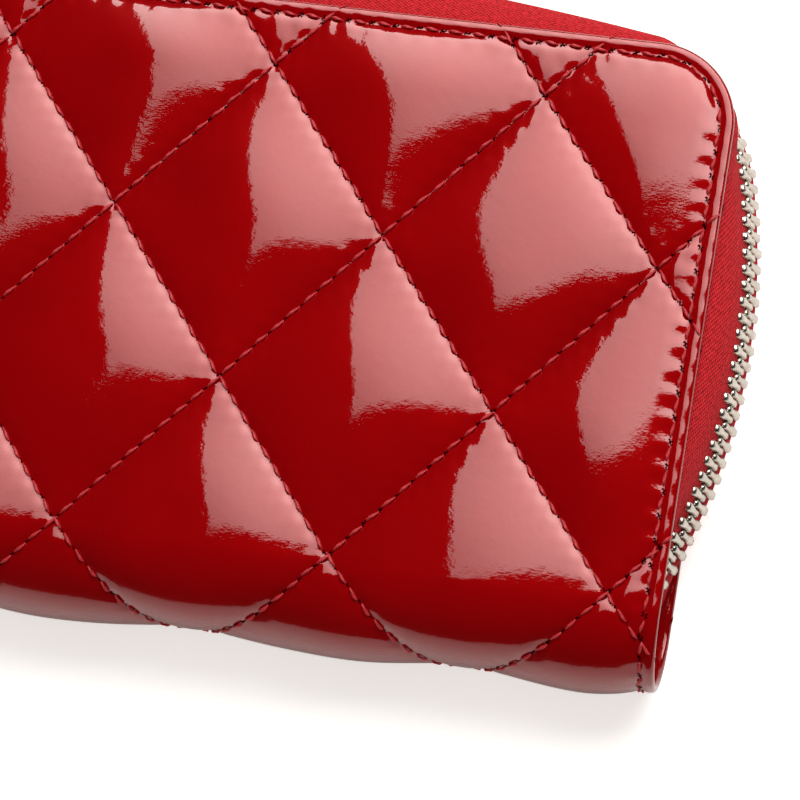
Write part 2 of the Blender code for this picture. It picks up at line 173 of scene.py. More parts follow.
def mingled(
    tree: NodeTree, place: NodeSocket, scale: float, detail: float, colours: Sequence[str]
) -> tuple[NodeSocket, NodeSocket]:
    """Mingles two colours by noise.

    Args:
        tree: the material's node tree.
        place: the coordinates that the noise reads.
        scale: the noise's scale, in features to the metre.
        detail: how many finer layers it has.
        colours: two hex colours.

    Returns:
        The noise's value and the mingled colour.
    """
    noise = add_node(tree, "ShaderNodeTexNoise", {"Scale": scale, "Detail": detail}, {"Vector": place})
    pair = {"data_type": "RGBA", "6": srgb(colours[0]), "7": srgb(colours[1])}
    mix = add_node(tree, "ShaderNodeMix", pair, {"0": noise.outputs["Fac"]})
    return noise.outputs["Fac"], mix.outputs[2]


def coordinates(mesh: Mesh) -> Array:
    """A mesh's vertex places as an (n, 3) array."""
    places = np.empty(len(mesh.vertices) * 3)
    mesh.vertices.foreach_get("co", places)
    return places.reshape(-1, 3)


def move_vertices(mesh: Mesh, places: Array) -> None:
    """Puts every vertex of a mesh at a new place."""
    mesh.vertices.foreach_set("co", np.ascontiguousarray(places, float).ravel())
    mesh.update()


def mesh_from(shape: bmesh.types.BMesh, name: str) -> Mesh:
    """Turns a bmesh into a mesh and frees it."""
    mesh = bpy.data.meshes.new(name)
    shape.to_mesh(mesh)
    shape.free()
    return mesh


def place_piece(
    mesh: Mesh,
    material: Material,
    replaced: Sequence[str] = (),
    sharp_deg: float = 180.0,
    body: str | None = None,
) -> Object:
    """Links a finished mesh into the scene as a piece.

    Args:
        mesh: the finished mesh, in the wallet's frame.
        material: what it is made of.
        replaced: CAD nodes that the piece stands for.
        sharp_deg: edges that turn by more than this stay sharp.
        body: the CAD body that it rides on, if any.

    Returns:
        The new object, named as its mesh.
    """
    piece = bpy.data.objects.new(mesh.name, mesh)
    bpy.context.scene.collection.objects.link(piece)
    mesh.materials.append(material)
    mesh.shade_smooth()
    if sharp_deg < 180.0:
        mesh.set_sharp_from_angle(angle=math.radians(sharp_deg))
    if replaced:
        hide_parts(*replaced)
    if body:
        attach(piece, body)
    LOG.info("%s: %d faces", mesh.name, len(mesh.polygons))
    return piece


def grid_mesh(
    name: str,
    places: Array,
    marks: Array | None = None,
    ring: bool = False,
    capped: bool = False,
    thick: float = 0.0,
) -> Mesh:
    """Bends a grid through given places.

    Args:
        name: the mesh's name.
        places: (n, m, 3) places of the grid's vertices.
        marks: (n, m, 2) values for a "weave" UV layer.
        ring: whether the second axis closes on itself.
        capped: whether the ends of a ring are filled.
        thick: a thickness to give an open sheet, half to each side.

    Returns:
        The mesh.
    """
    n, m = places.shape[:2]
    shape = bmesh.new()
    layer = shape.loops.layers.uv.new("weave")
    bmesh.ops.create_grid(shape, x_segments=n - 1, y_segments=m - 1, size=0.5)
    spots = {v: (round((v.co.x + 0.5) * (n - 1)), round((v.co.y + 0.5) * (m - 1))) for v in shape.verts}
    if marks is not None:
        for face in shape.faces:
            for loop in face.loops:
                loop[layer].uv = marks[spots[loop.vert]]
    for vertex, spot in spots.items():
        vertex.co = places[spot]
    if ring:
        bmesh.ops.remove_doubles(shape, verts=shape.verts, dist=1e-7)
    if capped:
        bmesh.ops.holes_fill(shape, edges=[edge for edge in shape.edges if edge.is_boundary], sides=64)
    if thick:
        bmesh.ops.recalc_face_normals(shape, faces=shape.faces)
        for vertex in shape.verts:
            vertex.co += vertex.normal * thick / 2
        bmesh.ops.solidify(shape, geom=shape.faces, thickness=thick)
    bmesh.ops.recalc_face_normals(shape, faces=shape.faces)
    return mesh_from(shape, name)


def tube(
    name: str, spine: Array, half_y: Array, half_z: Array, sides: int = 8, square: float = 2.0
) -> Mesh:
    """A closed bar along X with a rounded section.

    Args:
        name: the mesh's name.
        spine: (n, 3) places of the bar's middle.
        half_y: the section's half width at each place.
        half_z: the section's half height at each place.
        sides: how many sides the section has.
        square: 2 for a round section, more for a squarer one.

    Returns:
        The mesh.
    """
    angle = np.linspace(0.0, 2 * math.pi, sides + 1) + math.pi / sides
    cy, cz = squared(np.cos(angle), 2.0 / square), squared(np.sin(angle), 2.0 / square)
    places = np.repeat(spine[:, None, :], sides + 1, axis=1).astype(float)
    places[..., 1] += half_y[:, None] * cy
    places[..., 2] += half_z[:, None] * cz
    places[:, -1] = places[:, 0]
    return grid_mesh(name, places, ring=True, capped=True)


def repeat_mesh(name: str, template: Mesh, places: Array) -> Mesh:
    """Copies one small mesh to many places.

    Args:
        name: the new mesh's name.
        template: the shape that repeats.
        places: (n, vertices, 3) places, one row of vertices for each copy.

    Returns:
        One mesh holding every copy.
    """
    copies, count = places.shape[0], places.shape[1]
    loops = np.empty(len(template.loops), int)
    template.loops.foreach_get("vertex_index", loops)
    starts = np.empty(len(template.polygons), int)
    totals = np.empty(len(template.polygons), int)
    template.polygons.foreach_get("loop_start", starts)
    template.polygons.foreach_get("loop_total", totals)
    faces = [loops[s : s + t] for s, t in zip(starts, totals)]
    every = [(face + copy * count).tolist() for copy in range(copies) for face in faces]
    mesh = bpy.data.meshes.new(name)
    mesh.from_pydata(places.reshape(-1, 3).tolist(), [], every)
    mesh.update()
    return mesh


def stamped(local: Array, origins: Array, axes: Array) -> Array:
    """Places copies of a local shape.

    Args:
        local: (m, 3) vertices of the shape.
        origins: (n, 3) origins of the copies.
        axes: (n, 3, 3) the copies' X, Y and Z axes, one per row.

    Returns:
        (n, m, 3) places.
    """
    return origins[:, None, :] + np.einsum("mi,nij->nmj", local, axes)


def smooth_step(value: Array) -> Array:
    """A ramp from 0 to 1 with level ends."""
    t = np.clip(value, 0.0, 1.0)
    return t * t * (3 - 2 * t)


def squared(wave: Array, power: float) -> Array:
    """A cosine or sine pushed toward its extremes, which squares a round section."""
    return np.sign(wave) * np.abs(wave) ** power


# ---- The wallet's own sizes, read from the frame ----
@dataclass(frozen=True)
class WalletForm:
    """The covers and spine as one sheet of leather wrapped round the wallet."""

    half_width: float
    top_y: float
    thickness: float
    spine_y: float
    corner: float = 13.0 * MM

    @classmethod
    def from_frame(cls) -> "WalletForm":
        """Reads the covers' and spine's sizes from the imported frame."""
        _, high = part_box("front_skin")
        spine_low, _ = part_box("back_spine")
        return cls(float(high.x), float(high.y), float(high.z), float(spine_low.y))

    @property
    def radius(self) -> float:
        """The spine's outer radius."""
        return self.thickness / 2

    @property
    def bend_y(self) -> float:
        """Where the flat covers meet the round spine."""
        return self.spine_y + self.radius

    @property
    def flat(self) -> float:
        """The length of one flat cover, from its top edge to the spine."""
        return self.top_y - self.bend_y

    @property
    def turn(self) -> float:
        """The length of leather round the spine."""
        return math.pi * self.radius

    @property
    def length(self) -> float:
        """The length of the whole sheet, from top edge to top edge."""
        return 2 * self.flat + self.turn

    def wrap(self, sheet: Array) -> Array:
        """Wraps flat places onto the wallet.

        Args:
            sheet: (..., 3) places as x, v and height above the leather's nominal face.

        Returns:
            (..., 3) places in the wallet's frame.
        """
        x, v, h = sheet[..., 0], sheet[..., 1], sheet[..., 2]
        angle = np.clip((v - self.flat) / self.radius, 0.0, math.pi)
        past = np.maximum(v - self.flat - self.turn, 0.0) + np.minimum(v - self.flat, 0.0)
        reach = self.radius + h
        y = self.bend_y - reach * np.sin(angle) - past * np.cos(angle)
        z = self.radius + reach * np.cos(angle)
        return np.stack([x, y, z], axis=-1)

    def edge_distance(self, x: Array, v: Array) -> Array:
        """How far inside the sheet's outline a place is, negative outside."""
        down = np.minimum(v, self.length - v)
        across = self.half_width - np.abs(x)
        in_corner = (across < self.corner) & (down < self.corner)
        round_gap = self.corner - np.hypot(self.corner - across, self.corner - down)
        return np.where(in_corner, round_gap, np.minimum(across, down))

    def outward(self, x: float, v: float) -> Vector:
        """The direction out of the sheet's outline nearest to a place on it."""
        down = min(v, self.length - v)
        toward_top = -1.0 if v < self.length / 2 else 1.0
        beyond_x = abs(x) - (self.half_width - self.corner)
        beyond_v = self.corner - down
        if beyond_v <= 0:
            return Vector((math.copysign(1.0, x), 0.0, 0.0))
        if beyond_x <= 1e-7:
            return Vector((0.0, toward_top, 0.0))
        return Vector((math.copysign(beyond_x, x), toward_top * beyond_v, 0.0)).normalized()


FORM = WalletForm.from_frame()


@dataclass(frozen=True)
class Quilting:
    """Diamond quilting over the whole sheet, and how far it puffs the leather."""

    across: float = 43.0 * MM
    down: float = 51.2 * MM
    first_x: float = 0.65 * MM
    first_v: float = 10.7 * MM
    puff: float = 1.5 * MM
    peak: float = 0.4 * MM
    roundness: float = 2.25
    crease: float = 0.30 * MM
    crease_width: float = 0.95 * MM
    stitch: float = 3.3 * MM
    edge_seam: float = 2.3 * MM
    edge_stitch: float = 3.85 * MM
    edge_reach: float = 11.0 * MM
    edge_roundness: float = 2.4
    edge_crease: float = 0.24 * MM
    side_reach: float = 20.0 * MM
    side_fall: float = 0.6
    side_shoulder: float = 0.5 * MM
    ripple: float = 0.03 * MM
    bead: float = 0.15 * MM
    pucker: float = 0.03 * MM
    shoulder: float = 0.12 * MM
    swells: tuple[float, float] = (0.17 * MM, 0.10 * MM)

    @property
    def row_gap(self) -> float:
        """The distance between neighbouring parallel seams."""
        return self.across * self.down / math.hypot(self.across, self.down)

    @property
    def seam_level(self) -> float:
        """The leather's height at a seam."""
        return self.peak - self.puff

    def lattice(self, x: Array, v: Array, family: int) -> tuple[Array, Array]:
        """Where a place lies among one family of parallel seams.

        Args:
            x: places along the wallet.
            v: places down the sheet.
            family: +1 or -1, the seams' slant.

        Returns:
            The distance to the nearest seam, and the distance along it.
        """
        a = (x - self.first_x) / self.across
        b = (v - self.first_v) / self.down
        count = a + family * b - 0.5
        gap = np.abs(count - np.round(count)) * self.row_gap
        slope = math.hypot(self.across, self.down) / 2
        along = (a - family * b) * slope
        return gap, along

    def height(self, x: Array, v: Array) -> Array:
        """The quilted leather's height over its nominal face."""
        rise = np.ones_like(x)
        crease = np.zeros_like(x)
        edge = FORM.edge_distance(x, v)
        across = FORM.half_width - np.abs(x)
        for family in (1, -1):
            gap, along = self.lattice(x, v, family)
            share = np.clip(gap / (self.row_gap / 2), 0.0, 1.0)
            rise *= 1 - (1 - share) ** self.roundness
            beat = np.cos(2 * math.pi * along / self.stitch)
            crease += self.crease * (0.75 + 0.25 * beat) * np.exp(-((gap / self.crease_width) ** 1.3))
            crease -= self.ripple * beat * np.exp(-(((gap - 1.6 * MM) / (1.1 * MM)) ** 2))
        inside = np.clip((edge - self.edge_seam) / self.edge_reach, 0.0, 1.0)
        rise *= 1 - (1 - inside) ** self.edge_roundness
        outside = np.clip(1 - (across - self.edge_seam) / self.side_reach, 0.0, 1.0)
        rise *= 1 - self.side_fall * outside**2
        crease *= smooth_step((edge - 0.6 * MM) / (2.0 * MM)) * 0.85 + 0.15
        run = np.where(np.abs(x) > FORM.half_width - 6 * MM, v, x)
        beat = np.cos(2 * math.pi * run / self.edge_stitch)
        seam = self.edge_crease * np.exp(-((np.abs(edge - self.edge_seam) / (0.62 * MM)) ** 1.5))
        seam *= 0.8 + 0.2 * beat
        bead = self.bead * (1 + 0.2 * beat) * np.exp(-(((edge - 1.15 * MM) / (0.6 * MM)) ** 2))
        pucker = self.pucker * beat * np.exp(-(((edge - 3.7 * MM) / (1.1 * MM)) ** 2))
        shoulder = self.shoulder * smooth_step((edge - self.edge_seam) / (1.6 * MM))
        slope = smooth_step((across - self.edge_seam) / (3.6 * MM))
        shoulder += self.side_shoulder * slope * np.exp(-((across / (16.0 * MM)) ** 2))
        swell = self.swells[0] * np.sin(x / (8.5 * MM) + 1.3) * np.sin(v / (7.5 * MM) + 0.4)
        swell += self.swells[1] * np.sin(x / (5.1 * MM) - v / (6.3 * MM) + 2.1)
        puffed = self.puff * rise + swell * rise**1.5
        return self.seam_level + puffed - crease - seam + bead - pucker + shoulder * rise**0.3


QUILT = Quilting()


# ---- Finishes ----
@dataclass(frozen=True)
class PlainFinish:
    """A surface whose colour, roughness and fine bump all follow one noise."""

    name: str
    colours: tuple[str, str]
    scale: float
    detail: float = 2.0
    relief: float = 0.0
    rough: tuple[float, float] | None = None
    values: dict[str, Any] = field(default_factory=dict)

    def make(self) -> Material:
        """Builds the material."""
        material, tree, shader = new_material(self.name)
        place = add_node(tree, "ShaderNodeTexCoord").outputs["Object"]
        noise, colour = mingled(tree, place, self.scale, self.detail, self.colours)
        links = {"Base Color": colour}
        if self.rough:
            ends = {"To Min": self.rough[0], "To Max": self.rough[1]}
            spread = add_node(tree, "ShaderNodeMapRange", ends, {"Value": noise})
            links["Roughness"] = spread.outputs["Result"]
        if self.relief:
            bump = add_node(tree, "ShaderNodeBump", {"Distance": self.relief}, {"Height": noise})
            links["Normal"] = bump.outputs["Normal"]
        wire(shader, self.values, links)
        return material


# Bonded two-ply polyester thread: a soft sheen on twisted filaments.
THREAD = PlainFinish(
    "twisted_thread", ("D02C36", "8E101A"), 2600.0, 3.0, 0.03 * MM,
    values={"Roughness": 0.5, "Sheen Weight": 0.4, "Sheen Roughness": 0.4, "Sheen Tint": srgb("FF8A80")},
)
# Painted shade: dark discs laid on the leather stand for the shadowed mouths of the needle holes in dyed
# leather.
PAINTED_HOLE_SHADE = PlainFinish(
    "painted_hole_shade", ("1C0104", "2A0206"), 1500.0, values={"Roughness": 1.0, "Specular IOR Level": 0.0}
)
# Nickel-plated brass: barrel polished, then handled, with fine scuffs that blur its reflections.
NICKEL = PlainFinish(
    "nickel_plate", ("E4E0D6", "B4ABA0"), 900.0, 4.0, 0.012 * MM, (0.15, 0.425), {"Metallic": 1.0}
)


@dataclass(frozen=True)
class PatentLeather:
    """Calf leather under a poured film of clear polyurethane.

    The film is a mirror over a saturated dye: sharp reflections, with a faint orange peel and fine
    drawn wrinkles.
    """

    name: str = "patent_leather"
    dye: str = "900004"
    deep: str = "7A0003"
    coat_roughness: float = 0.018

    def make(self) -> Material:
        """Builds the material."""
        material, tree, shader = new_material(self.name)
        place = add_node(tree, "ShaderNodeTexCoord").outputs["Object"]
        _, colour = mingled(tree, place, 60.0, 3.0, (self.dye, self.deep))
        grain = add_node(tree, "ShaderNodeTexNoise", {"Scale": 560.0, "Detail": 2.0}, {"Vector": place})
        peel = add_node(tree, "ShaderNodeBump", {"Distance": 0.018 * MM}, {"Height": grain.outputs["Fac"]})
        pull = {"Scale": (1.0, 2.4, 1.0), "Rotation": (0.0, 0.0, math.radians(12.0))}
        along = add_node(tree, "ShaderNodeMapping", pull, {"Vector": place}).outputs["Vector"]
        drawn = add_node(tree, "ShaderNodeTexNoise", {"Scale": 1500.0, "Detail": 2.0}, {"Vector": along})
        both = {"Height": drawn.outputs["Fac"], "Normal": peel.outputs["Normal"]}
        skin = add_node(tree, "ShaderNodeBump", {"Distance": 0.0065 * MM}, both).outputs["Normal"]
        values = {"Roughness": 0.26, "Specular IOR Level": 0.5, "Specular Tint": srgb("FF1A14")}
        values |= {"Coat Weight": 1.0, "Coat Roughness": self.coat_roughness, "Coat IOR": 1.55}
        wire(shader, values, {"Base Color": colour, "Normal": skin, "Coat Normal": skin})
        return material


@dataclass(frozen=True)
class GrainedLeather:
    """Drum-dyed calf leather, or pressed fibre board: a low sheen broken by a fine grain."""

    name: str
    dye: str
    deep: str
    roughness: float = 0.45

    def make(self) -> Material:
        """Builds the material."""
        material, tree, shader = new_material(self.name)
        place = add_node(tree, "ShaderNodeTexCoord").outputs["Object"]
        grain = {"feature": "DISTANCE_TO_EDGE", "Scale": 1500.0}
        cells = add_node(tree, "ShaderNodeTexVoronoi", grain, {"Vector": place}).outputs["Distance"]
        bump = add_node(tree, "ShaderNodeBump", {"Distance": 0.05 * MM}, {"Height": cells})
        _, colour = mingled(tree, place, 90.0, 5.0, (self.dye, self.deep))
        wire(shader, {"Roughness": self.roughness}, {"Base Color": colour, "Normal": bump.outputs["Normal"]})
        return material


@dataclass(frozen=True)
class WovenCloth:
    """Woven cloth on a piece's own "weave" layer: matt yarns that catch light at a glancing angle."""

    name: str
    yarn: str
    shade: str
    rib: float
    pick: float
    relief: float
    sheen: float = 0.35

    def make(self) -> Material:
        """Builds the material."""
        material, tree, shader = new_material(self.name)
        place = add_node(tree, "ShaderNodeUVMap", {"uv_map": "weave"}).outputs["UV"]
        split = add_node(tree, "ShaderNodeSeparateXYZ", None, {"Vector": place})
        waves = []
        for axis, pitch in (("X", self.rib), ("Y", self.pick)):
            often = {"operation": "MULTIPLY", "1": 2 * math.pi / pitch}
            turns = add_node(tree, "ShaderNodeMath", often, {"0": split.outputs[axis]}).outputs[0]
            waves.append(add_node(tree, "ShaderNodeMath", {"operation": "SINE"}, {"0": turns}).outputs[0])
        cross = add_node(tree, "ShaderNodeMath", {"operation": "MULTIPLY"}, {"0": waves[0], "1": waves[1]})
        whole = {"From Min": -1.0, "From Max": 1.0}
        over = add_node(tree, "ShaderNodeMapRange", whole, {"Value": cross.outputs[0]}).outputs["Result"]
        fuzz = add_node(tree, "ShaderNodeTexNoise", {"Scale": 1500.0, "Detail": 4.0}, {"Vector": place})
        added = {"0": fuzz.outputs["Fac"], "2": over}
        height = add_node(tree, "ShaderNodeMath", {"operation": "MULTIPLY_ADD", "1": 1.6}, added).outputs[0]
        # Painted shade and highlight: the colour follows the weave's relief, darker in its hollows and
        # lighter on the yarns' crowns, mixed with random mottle from the noise.
        spread = {"From Min": 0.75, "From Max": 1.85}
        relief_shade_and_mottle = add_node(tree, "ShaderNodeMapRange", spread, {"Value": height}).outputs["Result"]
        pair = {"data_type": "RGBA", "6": srgb(self.shade), "7": srgb(self.yarn)}
        colour = add_node(tree, "ShaderNodeMix", pair, {"0": relief_shade_and_mottle}).outputs[2]
        bump = add_node(tree, "ShaderNodeBump", {"Distance": self.relief}, {"Height": height})
        values = {"Roughness": 0.85, "Specular IOR Level": 0.2}
        values |= {"Sheen Weight": self.sheen, "Sheen Tint": srgb(self.yarn)}
        wire(shader, values, {"Base Color": colour, "Normal": bump.outputs["Normal"]})
        return material


@dataclass(frozen=True)
class StudioPaper:
    """Matt white paper, lit through from below so that the camera sees it as pure white."""

    name: str = "studio_paper"
    glow: float = 0.55

    def make(self) -> Material:
        """Builds the material; the glow is for the camera only and lights nothing."""
        material, tree, shader = new_material(self.name)
        place = add_node(tree, "ShaderNodeTexCoord").outputs["Object"]
        tooth = add_node(tree, "ShaderNodeTexNoise", {"Scale": 900.0}, {"Vector": place})
        bump = add_node(tree, "ShaderNodeBump", {"Distance": 0.01 * MM}, {"Height": tooth.outputs["Fac"]})
        seen = add_node(tree, "ShaderNodeLightPath").outputs["Is Camera Ray"]
        glow = add_node(tree, "ShaderNodeMath", {"operation": "MULTIPLY", "1": self.glow}, {"0": seen})
        values = {"Base Color": srgb("F4F3F1"), "Emission Color": srgb("FFFDFA"), "Roughness": 0.7}
        wire(shader, values, {"Normal": bump.outputs["Normal"], "Emission Strength": glow.outputs[0]})
        return material


# ---- The quilted leather ----
@dataclass
class LeatherWrap:
    """The padded, quilted outer leather, with its edges turned under all round."""

    material: Material
    turn_radius: float = 0.65 * MM
    hem: float = 7.0 * MM
    columns: int = 430
    corner_rows: int = 30
    front_rows: int = 180
    spine_rows: int = 84
    back_rows: int = 120

    @property
    def rows(self) -> int:
        """How many rows of faces the sheet has."""
        return 2 * self.corner_rows + self.front_rows + self.spine_rows + self.back_rows

    def row_places(self, share: Array) -> tuple[Array, Array]:
        """Spreads the sheet's rows so that they follow the round corners.

        Args:
            share: each vertex's share of the way down the grid, from 0 to 1.

        Returns:
            The place down the sheet, and the sheet's half width there.
        """
        inner = FORM.corner - self.turn_radius
        row = share * self.rows
        knots = np.cumsum([self.corner_rows, self.front_rows, self.spine_rows, self.back_rows])
        stops = [FORM.corner, FORM.flat, FORM.flat + FORM.turn, FORM.length - FORM.corner]
        v = np.interp(row, knots, stops)
        half = np.full_like(v, FORM.half_width - self.turn_radius)
        for top in (True, False):
            step = (row if top else self.rows - row) / self.corner_rows
            angle = np.clip(step, 0.0, 1.0) * math.pi / 2
            down = FORM.corner - inner * np.cos(angle)
            here = step < 1.0
            v = np.where(here, down if top else FORM.length - down, v)
            half = np.where(here, FORM.half_width - FORM.corner + inner * np.sin(angle), half)
        return v, half

    def quilted_sheet(self) -> Mesh:
        """The flat sheet cut to its outline and quilted, not yet turned under."""
        shape = bmesh.new()
        bmesh.ops.create_grid(shape, x_segments=self.columns, y_segments=self.rows, size=0.5)
        mesh = mesh_from(shape, "sheet")
        grid = coordinates(mesh)
        v, half = self.row_places(0.5 - grid[:, 1])
        x = 2 * grid[:, 0] * half
        move_vertices(mesh, np.stack([x, v, QUILT.height(x, v)], axis=1))
        return mesh

    def turn_under(self, mesh: Mesh) -> Mesh:
        """Rolls the sheet's edge over and lays a hem along its inside."""
        shape = bmesh.new()
        shape.from_mesh(mesh)
        bpy.data.meshes.remove(mesh)
        rim = [edge for edge in shape.edges if edge.is_boundary]
        origin = {}
        for vertex in {vertex for edge in rim for vertex in edge.verts}:
            origin[vertex] = (vertex.co.copy(), FORM.outward(vertex.co.x, vertex.co.y))
        r = self.turn_radius
        turns = [math.radians(a) for a in (15, 30, 48, 66, 84, 102, 122, 142, 162, 180)]
        steps = [(r * math.sin(a), -r * (1 - math.cos(a))) for a in turns]
        steps += [(-self.hem * share, -2 * r) for share in (0.12, 0.4, 0.7, 1.0)]
        for out, down in steps:
            made = bmesh.ops.extrude_edge_only(shape, edges=rim)["geom"]
            rim = [item for item in made if isinstance(item, bmesh.types.BMEdge)]
            for vertex in (item for item in made if isinstance(item, bmesh.types.BMVert)):
                linked = [edge.other_vert(vertex) for edge in vertex.link_edges]
                known = [other for other in linked if other in origin]
                near = min(known, key=lambda other: (other.co - vertex.co).length_squared)
                start, direction = origin[vertex] = origin[near]
                vertex.co = start + direction * out + Vector((0.0, 0.0, down))
            rim = [edge for edge in rim if edge.is_boundary]
        bmesh.ops.recalc_face_normals(shape, faces=shape.faces)
        return mesh_from(shape, "leather_wrap")

    def build(self) -> None:
        """Builds the wrap."""
        mesh = self.turn_under(self.quilted_sheet())
        move_vertices(mesh, FORM.wrap(coordinates(mesh)))
        nodes = ("front_skin", "back_skin", "front_spine", "back_spine")
        wrap = place_piece(mesh, self.material, nodes)
        bend_with_spine(wrap)


def bend_with_spine(piece: Object) -> None:
    """Bakes a piece's placement into its mesh, leaving it in the wallet's frame."""
    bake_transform(piece)


@dataclass
class Stitching:
    """Rows of single two-ply stitches, each dipping into a needle hole at both ends."""

    thread: Material
    shadow: Material
    thickness: float = 0.56 * MM
    quilt_share: float = 0.86
    edge_share: float = 0.66
    arch: float = 0.30 * MM
    hole: float = 0.35 * MM
    edge_radius: float = 0.65 * MM

    def template(self) -> Mesh:
        """One stitch: a twisted pair of plies, 2 long in X and 1 thick, bent down at both ends."""
        t = np.linspace(-1.0, 1.0, 10)
        slim = 1.0 - 0.45 * np.abs(t) ** 4
        mesh = tube("stitch", np.stack([t, 0 * t, 0 * t], axis=1), 0.5 * slim, 0.31 * slim)
        places = coordinates(mesh)
        angle = 2.4 * places[:, 0]
        y, z = places[:, 1].copy(), places[:, 2].copy()
        places[:, 1] = y * np.cos(angle) - z * np.sin(angle)
        places[:, 2] = y * np.sin(angle) + z * np.cos(angle)
        move_vertices(mesh, places)
        return mesh

    def quilt_seats(self) -> Array:
        """Where each quilting stitch's middle lies, and which way it runs, as rows of x, v, dx, dv."""
        seats = []
        slope = math.hypot(QUILT.across, QUILT.down)
        for family in (1, -1):
            direction = np.array([QUILT.across, -family * QUILT.down]) / slope
            start_v = QUILT.first_v + QUILT.down / 2
            for line in range(-7, 8):
                origin = np.array([QUILT.first_x + QUILT.across * line, start_v])
                reach = int(0.30 / QUILT.stitch)
                for step in range(-reach, reach + 1):
                    middle = origin + direction * (step + 0.5) * QUILT.stitch
                    seats.append((*middle, *direction))
        found = np.array(seats)
        inside = FORM.edge_distance(found[:, 0], found[:, 1])
        return found[inside > -1.3 * MM]

    def edge_seats(self) -> Array:
        """The same for the seam that runs round the sheet just inside its edge."""
        inset = QUILT.edge_seam
        half, down = FORM.half_width - FORM.corner, FORM.length - 2 * FORM.corner
        radius = FORM.corner - inset
        seats = []
        count = round(2 * half / QUILT.edge_stitch)
        for i in range(count):
            x = -half + 2 * half * (i + 0.5) / count
            seats += [(x, v, 1.0, 0.0) for v in (inset, FORM.length - inset)]
        count = round(down / QUILT.edge_stitch)
        for i in range(count):
            v = FORM.corner + down * (i + 0.5) / count
            seats += [(x, v, 0.0, 1.0) for x in (FORM.half_width - inset, inset - FORM.half_width)]
        count = max(round(radius * math.pi / 2 / QUILT.edge_stitch), 2)
        for sx, sv in ((1, -1), (1, 1), (-1, 1), (-1, -1)):
            centre = (sx * half, FORM.corner if sv < 0 else FORM.length - FORM.corner)
            for i in range(count):
                angle = math.pi / 2 * (i + 0.5) / count
                out = (sx * math.sin(angle), sv * math.cos(angle))
                seats.append((centre[0] + radius * out[0], centre[1] + radius * out[1], out[1], -out[0]))
        return np.array(seats)

    def sew(self, name: str, seats: Array, pitch: float, share: float, seed: int, slant: float) -> None:
        """Makes one thread piece and its needle holes.

        Args:
            name: the thread piece's name.
            seats: rows of x, v, dx, dv.
            pitch: the stitch length.
            share: how much of the pitch the thread shows.
            seed: fixes the hand's small unevenness.
            slant: how far each stitch turns from the seam, in degrees.
        """
        rng = np.random.default_rng(seed)
        template = self.template()
        local = coordinates(template)
        count, tiny = len(seats), 0.01 * MM
        turn = np.radians(slant + rng.normal(0.0, 2.5, count))
        dx = seats[:, 2] * np.cos(turn) - seats[:, 3] * np.sin(turn)
        dv = seats[:, 2] * np.sin(turn) + seats[:, 3] * np.cos(turn)
        half = pitch * share / 2 * (1 + rng.normal(0.0, 0.04, count))
        axes = np.zeros((count, 3, 3))
        axes[:, 0, 0], axes[:, 0, 1] = dx * half, dv * half
        axes[:, 1, 0], axes[:, 1, 1] = -dv * self.thickness, dx * self.thickness
        axes[:, 2, 2] = self.thickness
        origins = np.column_stack([seats[:, 0], seats[:, 1], np.zeros(count)])
        origins[:, :2] += rng.normal(0.0, 0.05 * MM, (count, 2))
        places = stamped(local, origins, axes)
        lift = self.arch * (1 - 2.6 * np.abs(local[:, 0]) ** 3.5)
        x, v = places[..., 0], places[..., 1]
        edge = FORM.edge_distance(x, v)
        roll = np.clip(1 - edge / self.edge_radius, 0.0, 1.0)
        drop = self.edge_radius * (1 - np.sqrt(np.maximum(1 - roll**2, 0.0)))
        slope_x = (FORM.edge_distance(x + tiny, v) - FORM.edge_distance(x - tiny, v)) / (2 * tiny)
        slope_v = (FORM.edge_distance(x, v + tiny) - FORM.edge_distance(x, v - tiny)) / (2 * tiny)
        over = np.maximum(-0.05 * MM - edge, 0.0)
        places[..., 0] += slope_x * over
        places[..., 1] += slope_v * over
        middles = stamped(local * np.array([1.0, 0.0, 0.0]), origins, axes)
        ground = QUILT.height(middles[..., 0], middles[..., 1]) - 0.02 * MM
        ground = np.maximum(ground, QUILT.seam_level - 0.12 * MM)
        places[..., 2] += ground + lift[None, :] - drop - over
        bend_with_spine(place_piece(repeat_mesh(name, template, FORM.wrap(places)), self.thread))
        self.lay_hole_shade(f"{name}_hole_shadows", seats, np.column_stack([dx, dv]), pitch)

    def lay_hole_shade(self, name: str, seats: Array, direction: Array, pitch: float) -> None:
        """Lays dark discs of painted shade at the stitches' ends, where the needle holes' mouths lie in
        shadow.
        """
        shape = bmesh.new()
        bmesh.ops.create_circle(shape, segments=8, radius=1.0, cap_ends=True, cap_tris=True)
        for vertex in shape.verts:
            vertex.co.z = 0.25 if vertex.co.length > 0.5 else -0.6
        template = mesh_from(shape, "hole")
        half = direction * pitch * 0.47
        ends = np.concatenate([seats[:, :2] + half, seats[:, :2] - half])
        keep = FORM.edge_distance(ends[:, 0], ends[:, 1]) > 1.2 * MM
        ends = ends[keep]
        runs = np.concatenate([direction, direction])[keep]
        axes = np.zeros((len(ends), 3, 3))
        axes[:, 0, :2] = runs * self.hole * 1.25
        axes[:, 1, 0], axes[:, 1, 1] = -runs[:, 1] * self.hole * 0.8, runs[:, 0] * self.hole * 0.8
        axes[:, 2, 2] = self.hole * 0.3
        origins = np.column_stack([ends, QUILT.height(ends[:, 0], ends[:, 1]) + 0.04 * MM])
        places = FORM.wrap(stamped(coordinates(template), origins, axes))
        bend_with_spine(place_piece(repeat_mesh(name, template, places), self.shadow))

    def build(self) -> None:
        """Sews the quilting and the edge seam."""
        self.sew("quilting_thread", self.quilt_seats(), QUILT.stitch, self.quilt_share, 11, 4.0)
        self.sew("edge_thread", self.edge_seats(), QUILT.edge_stitch, self.edge_share, 12, 7.0)


